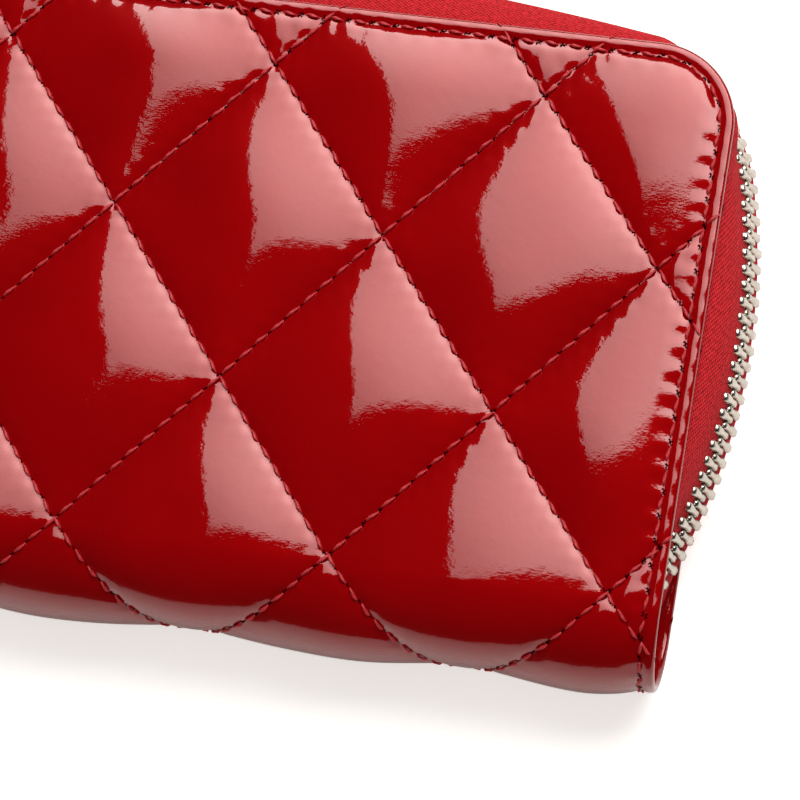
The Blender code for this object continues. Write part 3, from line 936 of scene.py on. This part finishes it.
# ---- The main zip ----
@dataclass(frozen=True)
class ChainLine:
    """The line of the closed zip in plan: arcs from its lower left end over the top to its lower right."""

    side_radius: float = 101.6 * MM
    side_y: float = 6.25 * MM
    upper_deg: float = 16.0
    lower_deg: float = 20.5
    corner_radius: float = 22.0 * MM
    top_deg: float = 10.0
    seam_inset: float = 1.5 * MM
    tuck: float = 14.0 * MM
    extra: float = 8.2 * MM
    right_inset: float = 1.4 * MM
    left_inset: float = 0.7 * MM
    corner_inset: float = 1.6 * MM
    top_swell: float = 2.9 * MM
    curl: float = 0.02 / MM

    def arcs(self) -> list[tuple[float, float, float, float, float]]:
        """The arcs as centre x, centre y, radius, start and end angle."""
        reach = self.side_radius - self.corner_radius
        upper = math.radians(self.upper_deg)
        cx, cy = reach * math.cos(upper), self.side_y + reach * math.sin(upper)
        lean = math.radians(90 - self.top_deg)
        top_radius = cx / math.cos(lean) + self.corner_radius
        top_y = cy - cx * math.tan(lean)
        return [
            (0.0, self.side_y, self.side_radius, 180 + self.lower_deg, 180 - self.upper_deg),
            (-cx, cy, self.corner_radius, 180 - self.upper_deg, 90 + self.top_deg),
            (0.0, top_y, top_radius, 90 + self.top_deg, 90 - self.top_deg),
            (cx, cy, self.corner_radius, 90 - self.top_deg, self.upper_deg),
            (0.0, self.side_y, self.side_radius, self.upper_deg, -self.lower_deg),
        ]

    @property
    def lengths(self) -> list[float]:
        """The arcs' lengths."""
        return [radius * math.radians(abs(end - start)) for _, _, radius, start, end in self.arcs()]

    @property
    def length(self) -> float:
        """The chain's length."""
        return sum(self.lengths)

    def shares(self, distance: Array) -> Iterator[tuple[Array, Array]]:
        """For each arc: which distances have reached it, and how far along it they are, from 0 to 1."""
        start_at = 0.0
        for length in self.lengths:
            reached = (distance >= start_at - 1e-9) | (start_at == 0.0)
            yield reached, np.clip((distance - start_at) / length, 0.0, 1.0)
            start_at += length

    def beyond(self, distance: Array) -> Array:
        """How far past either end of the chain each distance is."""
        return np.maximum(-distance, 0.0) + np.maximum(distance - self.length, 0.0)

    def at(self, distance: Array) -> tuple[Array, Array]:
        """Where the chain's line runs; past its ends it curls into the wallet.

        Args:
            distance: (n,) distances from the left end.

        Returns:
            (n, 2) places and (n, 2) outward directions.
        """
        places, outs = np.zeros((len(distance), 2)), np.zeros((len(distance), 2))
        for (cx, cy, radius, start, end), (here, share) in zip(self.arcs(), self.shares(distance)):
            angle = np.radians(start + (end - start) * share)
            out = np.stack([np.cos(angle), np.sin(angle)], axis=1)
            places[here] = (np.array([cx, cy]) + radius * out)[here]
            outs[here] = out[here]
        over = self.beyond(distance)
        way = np.where(distance < 0.0, -1.0, 1.0)
        down = np.stack([outs[:, 1] * way, -outs[:, 0] * way], axis=1)
        rise = np.clip(outs[:, 1], 0.0, 1.0) ** 2
        side_inset = np.where(outs[:, 0] > 0.0, self.right_inset, self.left_inset)
        bend = self.curl * over**2 + side_inset * (1 - rise) - self.top_swell * rise
        bend += 4 * self.corner_inset * np.clip(rise - 0.08, 0.0, 1.0) * (1 - rise)
        return places + down * over[:, None] - outs * bend[:, None], outs

    def seam_at(self, distance: Array) -> tuple[Array, Array]:
        """The line where the tape leaves the cover, for the same distances as at()."""
        x, y = FORM.half_width - self.seam_inset, FORM.top_y - self.seam_inset
        radius = FORM.corner - self.seam_inset
        low = self.side_y - self.side_radius * math.sin(math.radians(self.lower_deg))
        places, outs = np.zeros((len(distance), 2)), np.zeros((len(distance), 2))
        for run, (here, t) in enumerate(self.shares(distance)):
            side = -1.0 if run < 2 else 1.0
            if run in (0, 4):
                rise = t if run == 0 else 1 - t
                place = np.stack([np.full_like(t, side * x), low + (y - radius - low) * rise], axis=1)
                out = np.tile([side, 0.0], (len(t), 1))
            elif run == 2:
                place = np.stack([(x - radius) * (2 * t - 1), np.full_like(t, y)], axis=1)
                out = np.tile([0.0, 1.0], (len(t), 1))
            else:
                angle = math.pi / 2 * (2 - t if run == 1 else 1 - t)
                out = np.stack([np.cos(angle), np.sin(angle)], axis=1)
                place = np.array([side * (x - radius), y - radius]) + radius * out
            places[here], outs[here] = place[here], out[here]
        over = self.beyond(distance)
        places[:, 1] -= over
        places[:, 0] -= np.sign(places[:, 0]) * self.curl * over**2
        return places, outs


CHAIN = ChainLine()


@dataclass
class WovenTape:
    """One cover's zip tape: out of the cover's turned edge, round and down to the teeth."""

    cover: Cover
    material: Material
    fluff: Material
    thickness: float = 0.55 * MM
    near_teeth: float = 1.25 * MM
    upright: float = 3.4 * MM
    seam_drop: float = 2.75 * MM
    flap: float = 4.5 * MM
    swell: float = 3.5 * MM
    tilt_deg: float = 18.0

    def line(self, distance: Array) -> Array:
        """The tape's middle surface as (n, m, 3) places, from the teeth to the end of the flap."""
        centre, out = CHAIN.at(distance)
        seam, seam_out = CHAIN.seam_at(distance)
        rise = out[:, 1:]
        swell = smooth_step((rise - 0.25) / 0.35) * (1 - 0.6 * np.exp(-(((rise - 0.84) / 0.13) ** 2)))
        swell *= self.swell if self.cover is Cover.FRONT else 0.25 * self.swell
        tilt = math.radians(self.tilt_deg) * self.cover.sign
        seam_z = FORM.thickness / 2 - self.seam_drop
        upright = self.upright if self.cover is Cover.FRONT else self.upright - 0.55 * MM
        rows = []
        for height in (self.near_teeth, (self.near_teeth + upright) / 2, upright):
            spot = centre - out * math.tan(tilt) * height
            rows.append(np.column_stack([spot, np.full(len(distance), height)]))
        start = rows[-1][:, :2]
        for t in np.linspace(0.0, 1.0, 11)[1:]:
            spot = start + (seam - start) * t**1.4
            spot += out * swell * math.sin(math.pi * t) * (1 - t)
            rise = seam_z - (seam_z - upright) * (1 - t) ** 1.5
            rows.append(np.column_stack([spot, np.full(len(distance), rise)]))
        for share in (0.35, 0.7, 1.0):
            spot = seam - seam_out * self.flap * share
            rows.append(np.column_stack([spot, np.full(len(distance), seam_z)]))
        line = np.stack(rows, axis=1)
        line[..., 2] = FORM.thickness / 2 + self.cover.sign * line[..., 2]
        return line

    def build(self) -> None:
        """Builds the tape and its loose fibres."""
        distance = np.linspace(-CHAIN.tuck, CHAIN.length + CHAIN.tuck, 620)
        line = self.line(distance)
        along, across = np.gradient(line, axis=0), np.gradient(line, axis=1)
        normal = np.cross(along, across)
        normal /= np.linalg.norm(normal, axis=2, keepdims=True)
        half = self.thickness / 2
        outer, inner = line + normal * half, line - normal * half
        section = np.concatenate([outer, inner[:, ::-1], outer[:, :1]], axis=1)
        step = np.linalg.norm(np.diff(line, axis=1), axis=2)
        width = np.concatenate([np.zeros((len(line), 1)), np.cumsum(step, axis=1)], axis=1)
        v = np.concatenate([width, width[:, ::-1], width[:, :1]], axis=1)
        u = np.repeat(distance[:, None], v.shape[1], axis=1)
        side = self.cover.value
        mesh = grid_mesh(f"tape_{side}", section, np.stack([u, v], axis=2), ring=True)
        tape = place_piece(mesh, self.material, (f"{side}_tape",), body=self.cover.body)
        self.fibres(line, normal)

    def fibres(self, line: Array, normal: Array) -> None:
        """Scatters fine loose fibres over the tape's face."""
        rng = np.random.default_rng(31 + self.cover.sign)
        t = np.linspace(0.0, 1.0, 5)
        curl = np.stack([t, 0.35 * t**2, 0.28 * np.sin(2.4 * t)], axis=1)
        hair = tube("hair", curl, np.full(5, 0.02), np.full(5, 0.02), sides=3)
        count = 900
        i = rng.integers(4, len(line) - 4, count)
        j = rng.integers(0, 12, count)
        origins = line[i, j] + normal[i, j] * self.thickness * 0.5
        origins += rng.normal(0.0, 0.3 * MM, (count, 3))
        run = rng.normal(0.0, 1.0, (count, 3)) + normal[i, j] * 0.5
        run /= np.linalg.norm(run, axis=1, keepdims=True)
        side = np.cross(run, rng.normal(0.0, 1.0, (count, 3)))
        side /= np.linalg.norm(side, axis=1, keepdims=True)
        size = rng.uniform(0.4, 1.25, count)[:, None] * MM
        axes = np.stack([run * size, side * size, np.cross(run, side) * size], axis=1)
        mesh = repeat_mesh(f"tape_fibres_{self.cover.value}", hair, stamped(coordinates(hair), origins, axes))
        place_piece(mesh, self.fluff, body=self.cover.body)


@dataclass
class ZipTeeth:
    """One row of clamped metal teeth, cast with a square shank and a rounded hook."""

    cover: Cover
    metal: Material
    pitch: float = 2.63 * MM
    tilt_deg: float = 18.0

    def tooth(self) -> Mesh:
        """One tooth, with X from its root to its hook, Y through the chain and Z along it."""
        root = np.array([3.45, 3.2, 2.5, 1.5, 0.6, -0.25, -0.85, -1.15]) * MM
        deep = np.array([0.5, 0.84, 0.95, 0.9, 0.78, 0.86, 0.8, 0.4]) * MM
        wide = np.array([0.5, 0.72, 0.8, 0.7, 0.5, 0.62, 0.62, 0.35]) * MM
        return tube("tooth", np.stack([root, 0 * root, 0 * root], axis=1), deep, wide, square=3.2)

    def build(self) -> None:
        """Sets the teeth along the chain."""
        template = self.tooth()
        offset = 0.75 if self.cover is Cover.FRONT else 0.25
        count = int((CHAIN.length + CHAIN.extra) / self.pitch) - 1
        distance = (np.arange(count) + offset + 0.25) * self.pitch
        centre, out = CHAIN.at(distance)
        rng = np.random.default_rng(5 + self.cover.sign)
        tilt = math.radians(self.tilt_deg) + rng.normal(0.0, math.radians(1.5), count)
        outward = np.column_stack([out, np.zeros(count)])
        up = np.tile([0.0, 0.0, 1.0], (count, 1))
        root = (up * np.cos(tilt)[:, None] - outward * np.sin(tilt)[:, None]) * self.cover.sign
        deep = outward * np.cos(tilt)[:, None] + up * np.sin(tilt)[:, None]
        axes = np.stack([root, deep, np.cross(root, deep)], axis=1)
        origins = np.column_stack([centre, np.full(count, FORM.thickness / 2)])
        name = self.cover.value
        mesh = repeat_mesh(f"teeth_{name}", template, stamped(coordinates(template), origins, axes))
        place_piece(mesh, self.metal, (f"{name}_teeth",), 50.0, self.cover.body)


# ---- Metal parts ----
def softened(node: str, name: str, bevel: float) -> Mesh:
    """A CAD node's shape with its edges rounded.

    Args:
        node: the CAD node.
        name: the new mesh's name.
        bevel: how wide the rounding is.

    Returns:
        The rounded mesh, in the wallet's frame.
    """
    source = frame["nodes"][node]
    shape = bmesh.new()
    shape.from_mesh(source.data)
    bmesh.ops.transform(shape, verts=shape.verts, matrix=source.matrix_world)
    bmesh.ops.remove_doubles(shape, verts=shape.verts, dist=1e-6)
    bmesh.ops.dissolve_limit(shape, angle_limit=math.radians(2.0), verts=shape.verts, edges=shape.edges)
    sharp = [edge for edge in shape.edges if edge.is_manifold and edge.calc_face_angle() > math.radians(35.0)]
    bmesh.ops.bevel(
        shape, geom=sharp, offset=bevel, segments=3, profile=0.5, affect="EDGES", material=-1,
        clamp_overlap=True,
    )
    bmesh.ops.recalc_face_normals(shape, faces=shape.faces)
    return mesh_from(shape, name)


@dataclass
class Hardware:
    """The sliders, bails, stops and links: die-cast, with rounded edges."""

    metal: Material

    def build(self) -> None:
        """Builds every metal part except the teeth."""
        parts = {
            "slider_outer_plate": ("slider", 0.35),
            "slider_inner_plate": ("slider", 0.25),
            "slider_bail": ("slider", 0.0),
            "pull_link": ("pull_link", 0.0),
            "back_top_stop": ("back_cover", 0.3),
            "front_top_stop": ("front_cover", 0.3),
            "coin_slider": ("coin_slider", 0.22),
            "coin_bail": ("coin_slider", 0.0),
            "coin_pull": ("coin_pull", 0.2),
        }
        for node, (body, bevel) in parts.items():
            mesh = softened(node, f"{node}_metal", bevel * MM)
            place_piece(mesh, self.metal, (node,), 40.0, body)
        stop = softened("bottom_stop", "bottom_stop_metal", 0.3 * MM)
        ends, _ = CHAIN.at(np.array([CHAIN.length, CHAIN.length + CHAIN.extra + 1.2 * MM]))
        stop.transform(Matrix.Translation((*(ends[1] - ends[0]), 0.0)))
        place_piece(stop, self.metal, ("bottom_stop",), 40.0, "back_cover")


@dataclass
class PullTab:
    """The long leather pull, folded round the link and stitched along both edges."""

    leather: Material
    thread: Material
    stitch: Mesh
    length: float = 34.0 * MM
    heading_deg: float = 94.0
    half_thickness: float = 1.2 * MM
    seam: float = 3.25 * MM
    pitch: float = 2.6 * MM

    def build(self) -> None:
        """Builds the strap and its two seams on both faces."""
        strap = softened("pull_tab", "pull_tab_leather", 0.45 * MM)
        place_piece(strap, self.leather, ("pull_tab",), 50.0, "pull_tab")
        pivot = next(joint for joint in frame["joints"] if joint["name"] == "tab_swing")["pos_m"]
        heading = math.radians(self.heading_deg)
        along = np.array([math.cos(heading), math.sin(heading), 0.0])
        out = np.array([math.sin(heading), -math.cos(heading), 0.0])
        up = np.array([0.0, 0.0, 1.0])
        origins, axes = [], []
        runs = 5.5 * MM + self.pitch * np.arange(int((self.length - 7 * MM) / self.pitch))
        for face, edge in ((-1, -1), (-1, 1), (1, -1), (1, 1)):
            for run in runs:
                spot = along * run + out * face * self.half_thickness + up * edge * self.seam
                origins.append(np.array(pivot) + spot)
                axes.append([along * self.pitch * 0.42, up * 0.5 * MM, out * face * 0.5 * MM])
        places = stamped(coordinates(self.stitch), np.array(origins), np.array(axes))
        place_piece(repeat_mesh("pull_tab_thread", self.stitch, places), self.thread, body="pull_tab")


# ---- Inside ----
def wrapped_panel(
    name: str, inset: float, ends: tuple[float, float], level: float, thick: float, corner: float
) -> Mesh:
    """A panel cut from the flat sheet's pattern and wrapped onto the wallet.

    Args:
        name: the mesh's name.
        inset: how far its sides lie inside the covers' sides.
        ends: where it starts and ends down the sheet.
        level: its middle height over the leather's nominal face.
        thick: its thickness.
        corner: the radius of its corners.

    Returns:
        The mesh.
    """
    rows, columns = 220, 80
    v = np.linspace(ends[0], ends[1], rows + 1)
    gap = np.minimum(v - ends[0], ends[1] - v)
    short = np.clip(corner - gap, 0.0, corner)
    half = FORM.half_width - inset - (corner - np.sqrt(corner**2 - short**2))
    x = np.linspace(-1.0, 1.0, columns + 1)[:, None] * half[None, :]
    down = np.repeat(v[None, :], columns + 1, axis=0)
    places = FORM.wrap(np.stack([x, down, np.full_like(x, level)], axis=2))
    return grid_mesh(name, places, np.stack([x, down], axis=2), thick=thick)


@dataclass
class Interior:
    """The lining, stiffeners, card slots and side gussets."""

    cloth: Material
    board: Material
    leather: Material
    thread: Material
    stitch: Mesh
    lining_level: float = -3.12 * MM
    board_level: float = -2.1 * MM

    def lining(self) -> None:
        """One cloth lining from cover to cover, past the spine."""
        inset = 4.5 * MM
        ends = (inset, FORM.length - inset)
        mesh = wrapped_panel("lining", inset, ends, self.lining_level, 0.26 * MM, 8.5 * MM)
        nodes = ("front_lining", "back_lining", "front_spine_lining", "back_spine_lining")
        piece = place_piece(mesh, self.cloth, nodes, 60.0)
        bend_with_spine(piece)
        size = (2 * (FORM.half_width - inset), FORM.length - 2 * inset)

    def stiffener(self, cover: Cover) -> None:
        """One cover's board."""
        near, far = 9.5 * MM, FORM.flat - 1.5 * MM
        ends = (near, far) if cover is Cover.FRONT else (FORM.length - far, FORM.length - near)
        name = f"stiffener_{cover.value}"
        mesh = wrapped_panel(name, 9.5 * MM, ends, self.board_level - 0.15 * MM, 0.25 * MM, 4.0 * MM)
        place_piece(mesh, self.board, (f"{cover.value}_stiffener",), 60.0, cover.body)

    def card_slot(self, cover: Cover, end: End, layer: int) -> None:
        """One card slot: a leather flap with a turned, stitched top edge."""
        node = f"{cover.value}_card_slot_{end.value}_{layer}"
        low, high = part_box(node)
        y = np.array([0.0, 0.3, 0.62, 0.9, 0.965, 0.985, 0.997, 1.0])
        y = low.y + (high.y - low.y) * y
        half = np.array([0.12, 0.18, 0.18, 0.18, 0.2, 0.27, 0.24, 0.06]) * MM
        loop_y = np.concatenate([y, y[::-1], y[:1]])
        loop_z = np.concatenate([half, -half[::-1], half[:1]])
        x = np.linspace(low.x, high.x, 40)
        shape = np.abs(np.linspace(-1.0, 1.0, 40))
        thin = 1.0 - 0.75 * np.clip((shape - 0.97) / 0.03, 0.0, 1.0) ** 2
        z = (low.z + high.z) / 2
        places = np.zeros((40, len(loop_y), 3))
        places[..., 0] = x[:, None]
        places[..., 1] = loop_y[None, :] - 0.5 * MM * (1 - shape**2)[:, None] * (loop_y > y[3])[None, :]
        places[..., 2] = z + loop_z[None, :] * thin[:, None]
        mesh = grid_mesh(f"card_slot_{cover.value}_{end.value}_{layer}", places, ring=True, capped=True)
        place_piece(mesh, self.leather, (node,), 60.0, cover.body)
        seam_x = np.arange(low.x + 2.5 * MM, high.x - 2.0 * MM, 2.9 * MM)
        across = np.abs((seam_x - (low.x + high.x) / 2) / (high.x - low.x) * 2)
        seam_y = high.y - 2.3 * MM - 0.5 * MM * (1 - across**2)
        level = z - cover.sign * 0.19 * MM
        origins = np.column_stack([seam_x, seam_y, np.full(len(seam_x), level)])
        axes = np.tile(np.diag([1.2 * MM, 0.36 * MM, 0.3 * MM]), (len(seam_x), 1, 1))
        stitches = stamped(coordinates(self.stitch), origins, axes)
        sewn = repeat_mesh(f"{mesh.name}_thread", self.stitch, stitches)
        place_piece(sewn, self.thread, body=cover.body)

    def gusset(self, end: End) -> None:
        """One side gusset: cloth folded in a W between the covers, wide at the mouth."""
        half_x = [89.3, 83.0, 77.0, 76.0, 77.0, 82.0, 86.3]
        fold_x = np.array([*half_x, 87.3, *half_x[::-1]])
        fold_z = np.array([3.4, 5.2, 6.9, 7.5, 8.0, 8.9, 9.9, 12.0, 14.1, 15.1, 16.0, 16.5, 17.1, 18.8, 20.6])
        path = np.linspace(0, len(fold_x) - 1, 85)
        knots = np.arange(len(fold_x))
        soft = np.array([0.25, 0.5, 0.25])
        x, z = np.interp(path, knots, fold_x), np.interp(path, knots, fold_z)
        for _ in range(12):
            x[1:-1], z[1:-1] = np.convolve(x, soft, "valid"), np.convolve(z, soft, "valid")
        y = np.linspace(-33.5, 33.5, 70)
        mouth = ((y - y[0]) / (y[-1] - y[0])) ** 0.9
        ripple = 0.25 * np.sin(y / 5.3 + end.sign) * mouth
        places = np.zeros((len(y), len(x), 3))
        gap = 88.6 - (88.6 - x)[None, :] * (0.12 + 0.88 * mouth)[:, None]
        wave = np.sin(np.linspace(0.0, math.pi, len(x)))[None, :]
        places[..., 0] = end.sign * (gap + ripple[:, None] * wave)
        places[..., 1] = y[:, None]
        places[..., 2] = z[None, :]
        places *= MM
        u = np.concatenate([[0.0], np.cumsum(np.hypot(np.diff(x), np.diff(z)))]) * MM
        marks = np.stack(np.meshgrid(y * MM, u, indexing="ij"), axis=2)
        mesh = grid_mesh(f"gusset_{end.value}", places, marks, thick=0.35 * MM)
        nodes = (f"front_gusset_{end.value}", f"back_gusset_{end.value}")
        piece = place_piece(mesh, self.cloth, nodes, 60.0)
        bend_with_spine(piece)

    def build(self) -> None:
        """Builds the whole inside."""
        self.lining()
        for cover in Cover:
            self.stiffener(cover)
            for end in End:
                for layer in range(1, 5):
                    self.card_slot(cover, end, layer)
        for end in End:
            self.gusset(end)


@dataclass
class CoinPocket:
    """The zipped pocket on the middle: two cloth walls, a bound edge, two tapes and a fine chain."""

    cloth: Material
    tape: Material
    metal: Material
    binding: Material
    pitch: float = 2.1 * MM
    narrowest: float = 11.0 * MM

    def sheet_between(
        self, name: str, node: str, swell: float, material: Material, thick: float
    ) -> None:
        """A cloth sheet in place of a flat CAD wall, easing outwards in its middle.

        Args:
            name: the piece's name.
            node: the CAD node that it stands for.
            swell: how far its middle eases along Z.
            material: its cloth.
            thick: its thickness.
        """
        low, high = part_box(node)
        low.y = min(low.y, high.y - self.narrowest)
        x, y = np.linspace(low.x, high.x, 90), np.linspace(low.y, high.y, 40)
        grid_x, grid_y = np.meshgrid(x, y, indexing="ij")
        u, w = (grid_x - low.x) / (high.x - low.x), (grid_y - low.y) / (high.y - low.y)
        dome = np.sin(math.pi * u) * np.sin(math.pi * w)
        waves = 0.5 + 0.5 * np.sin(grid_x / (11 * MM) + 1.7) * np.sin(grid_y / (9 * MM))
        z = (low.z + high.z) / 2 + swell * dome**0.6 * waves
        places = np.stack([grid_x, grid_y, z], axis=2)
        mesh = grid_mesh(name, places, places[..., :2], thick=thick)
        piece = place_piece(mesh, material, (node,), 60.0, "coin_pocket")

    def edge_binding(self) -> None:
        """A folded leather strip round the pocket's sides and floor."""
        low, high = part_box("coin_wall_back")
        top, radius = high.y, 4.0 * MM
        x, y = high.x - 1.0 * MM, low.y + 1.0 * MM
        turn = np.linspace(0.0, math.pi / 2, 10)
        side = np.linspace(top, y + radius, 24)
        right = np.stack([np.full_like(side, x), side], axis=1)
        bend = np.stack([x - radius + radius * np.cos(turn), y + radius - radius * np.sin(turn)], axis=1)
        floor_x = np.linspace(x - radius, 0.0, 30)
        floor = np.stack([floor_x, np.full_like(floor_x, y)], axis=1)
        half = np.concatenate([right[:-1], bend, floor[1:]])
        mirror = half[::-1][1:] * np.array([-1.0, 1.0])
        path = np.concatenate([half, mirror])
        ahead = np.gradient(path, axis=0)
        ahead /= np.linalg.norm(ahead, axis=1, keepdims=True)
        out = np.stack([-ahead[:, 1], ahead[:, 0]], axis=1) * -1
        angle = np.linspace(0.0, 2 * math.pi, 17)
        reach = 1.15 * MM * squared(np.cos(angle), 0.5)
        lift = 1.75 * MM * squared(np.sin(angle), 0.5)
        reach[-1], lift[-1] = reach[0], lift[0]
        places = np.zeros((len(path), len(angle), 3))
        places[..., :2] = path[:, None, :] + out[:, None, :] * reach[None, :, None]
        places[..., 2] = FORM.thickness / 2 + lift[None, :]
        mesh = grid_mesh("coin_binding", places, ring=True, capped=True)
        nodes = ("coin_floor", "coin_seam_left", "coin_seam_right")
        place_piece(mesh, self.binding, nodes, 60.0, "coin_pocket")

    def chain(self) -> None:
        """The pocket's fine metal teeth, two rows meshing."""
        low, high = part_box("coin_chain")
        root = np.array([1.95, 1.8, 1.2, 0.5, -0.1, -0.5]) * MM
        deep = np.array([0.5, 0.78, 0.8, 0.66, 0.7, 0.4]) * MM
        wide = np.array([0.35, 0.5, 0.52, 0.36, 0.48, 0.25]) * MM
        tooth = tube("coin_tooth", np.stack([root, 0 * root, 0 * root], axis=1), deep, wide, square=3.0)
        origins, axes = [], []
        count = int((high.x - low.x) / self.pitch) - 1
        for sign in (-1, 1):
            for step in range(count):
                x = low.x + self.pitch * (step + (0.75 if sign > 0 else 0.25) + 0.3)
                origins.append((x, (low.y + high.y) / 2, FORM.thickness / 2))
                axes.append(((0.0, 0.0, sign), (0.0, 1.0, 0.0), (-float(sign), 0.0, 0.0)))
        places = stamped(coordinates(tooth), np.array(origins), np.array(axes))
        mesh = repeat_mesh("coin_teeth", tooth, places)
        place_piece(mesh, self.metal, ("coin_chain",), 50.0, "coin_pocket")

    def build(self) -> None:
        """Builds the pocket."""
        self.edge_binding()
        for cover in Cover:
            wall, tape = f"coin_wall_{cover.value}", f"coin_tape_{cover.value}"
            ease = cover.sign * 0.45 * MM
            self.sheet_between(f"{wall}_cloth", wall, ease, self.cloth, 0.4 * MM)
            self.sheet_between(f"{tape}_woven", tape, 0.0, self.tape, 0.45 * MM)
        self.chain()


# ---- Studio ----
@dataclass
class Studio:
    """White paper, a large softbox overhead and behind, and soft fill."""

    camera_place: tuple[float, float, float] = (0.1535, -0.1492, 0.6100)
    camera_aim: tuple[float, float, float] = (0.0509, -0.0120, 0.0240)
    camera_roll_deg: float = 9.66
    lens_mm: float = 180.0
    floor_drop: float = 0.4 * MM

    def floor(self) -> None:
        """Lays the paper under the wallet."""
        shape = bmesh.new()
        bmesh.ops.create_grid(shape, x_segments=4, y_segments=4, size=3.0)
        bmesh.ops.translate(shape, verts=shape.verts, vec=(0.0, 0.0, CAD_BOX[0][2] - self.floor_drop))
        mesh = mesh_from(shape, "paper_floor")
        floor = bpy.data.objects.new("paper_floor", mesh)
        mesh.materials.append(StudioPaper().make())
        bpy.context.scene.collection.objects.link(floor)

    def light(
        self,
        name: str,
        place: Sequence[float],
        aim: Sequence[float],
        size: tuple[float, float],
        power: float,
        turn_deg: float = 0.0,
        mirrored: bool = True,
    ) -> None:
        """Hangs one rectangular light.

        Args:
            name: the light's name.
            place: where it hangs.
            aim: what it points at.
            size: its width and height.
            power: its power in watts.
            turn_deg: how far it turns about its own axis.
            mirrored: whether glossy surfaces show it.
        """
        data = bpy.data.lights.new(name, "AREA")
        data.shape = "RECTANGLE"
        data.size, data.size_y = size
        data.energy = power
        data.color = (1.0, 0.97, 0.94)
        lamp = bpy.data.objects.new(name, data)
        bpy.context.scene.collection.objects.link(lamp)
        lamp.matrix_world = looking(place, aim, turn_deg)
        lamp.visible_glossy = mirrored
        if mirrored:
            self.fade(data)
        lamp.visible_camera = False

    def fade(self, data: Light) -> None:
        """Makes a softbox's diffuser brighter toward its far corner."""
        data.use_nodes = True
        tree = data.node_tree
        place = add_node(tree, "ShaderNodeNewGeometry").outputs["Parametric"]
        split = add_node(tree, "ShaderNodeSeparateXYZ", None, {"Vector": place})
        sides = {"0": split.outputs["X"], "1": split.outputs["Y"]}
        both = add_node(tree, "ShaderNodeMath", {"operation": "ADD"}, sides)
        ends = {"To Min": 0.45, "To Max": 1.7}
        glow = add_node(tree, "ShaderNodeMapRange", ends, {"Value": both.outputs[0]})
        tree.links.new(glow.outputs["Result"], tree.nodes["Emission"].inputs["Strength"])

    def build(self) -> None:
        """Sets up the paper, lights and camera."""
        self.floor()
        self.light("softbox", (0.2165, 0.873, 0.95), (0.2165, 0.873, 0.0), (1.1, 1.3), 20.0, 14.0)
        self.light("fill_top", (0.0, -0.1, 1.3), (0.0, 0.0, 0.0), (1.6, 1.6), 3.6, 0.0, False)
        self.light("fill_front", (0.05, -0.95, 0.75), (0.0, 0.0, 0.0), (1.4, 1.0), 4.5, 0.0, False)
        world = bpy.data.worlds.new("studio_air")
        world.use_nodes = True
        wire(world.node_tree.nodes["Background"], {"Color": (1.0, 0.98, 0.96, 1.0), "Strength": 0.012})
        bpy.context.scene.world = world
        bpy.context.scene.view_settings.view_transform = "Standard"
        data = bpy.data.cameras.new("camera")
        data.lens = self.lens_mm
        data.sensor_width = 36.0
        camera = bpy.data.objects.new("camera", data)
        bpy.context.scene.collection.objects.link(camera)
        camera.matrix_world = looking(self.camera_place, self.camera_aim, self.camera_roll_deg)
        bpy.context.scene.camera = camera


def looking(place: Sequence[float], aim: Sequence[float], roll_deg: float) -> Matrix:
    """The matrix of a camera or lamp at a place, looking at a point.

    Args:
        place: where it stands.
        aim: what it looks at.
        roll_deg: its turn about its line of sight, from +Y up.

    Returns:
        The world matrix.
    """
    back = (Vector(place) - Vector(aim)).normalized()
    side = Vector((0.0, 1.0, 0.0)).cross(back).normalized()
    upright = back.cross(side)
    basis = Matrix((side, upright, back)).transposed().to_4x4()
    return Matrix.Translation(place) @ basis @ Matrix.Rotation(math.radians(roll_deg), 4, "Z")


def main() -> None:
    """Builds the wallet and its studio."""
    logging.basicConfig(level=logging.INFO, format="%(message)s")
    patent = PatentLeather().make()
    thread = THREAD.make()
    metal = NICKEL.make()
    tape = WovenCloth("zip_tape_cloth", "DC2A32", "86060E", 0.80 * MM, 0.55 * MM, 0.16 * MM, sheen=0.2).make()
    lining = WovenCloth("lining_twill", "8E1420", "5A0C14", 0.36 * MM, 0.30 * MM, 0.05 * MM).make()
    slots = GrainedLeather("slot_leather", "8C1019", "6A0A12").make()
    board = GrainedLeather("fibre_board", "B9A98C", "A08F72", 0.9).make()
    LeatherWrap(patent).build()
    seams = Stitching(thread, PAINTED_HOLE_SHADE.make())
    seams.build()
    for cover in Cover:
        WovenTape(cover, tape, thread).build()
        ZipTeeth(cover, metal).build()
    Hardware(metal).build()
    stitch = seams.template()
    PullTab(patent, thread, stitch).build()
    Interior(lining, board, slots, thread, stitch).build()
    CoinPocket(lining, tape, metal, slots).build()
    Studio().build()


if __name__ == "__main__":
    main()
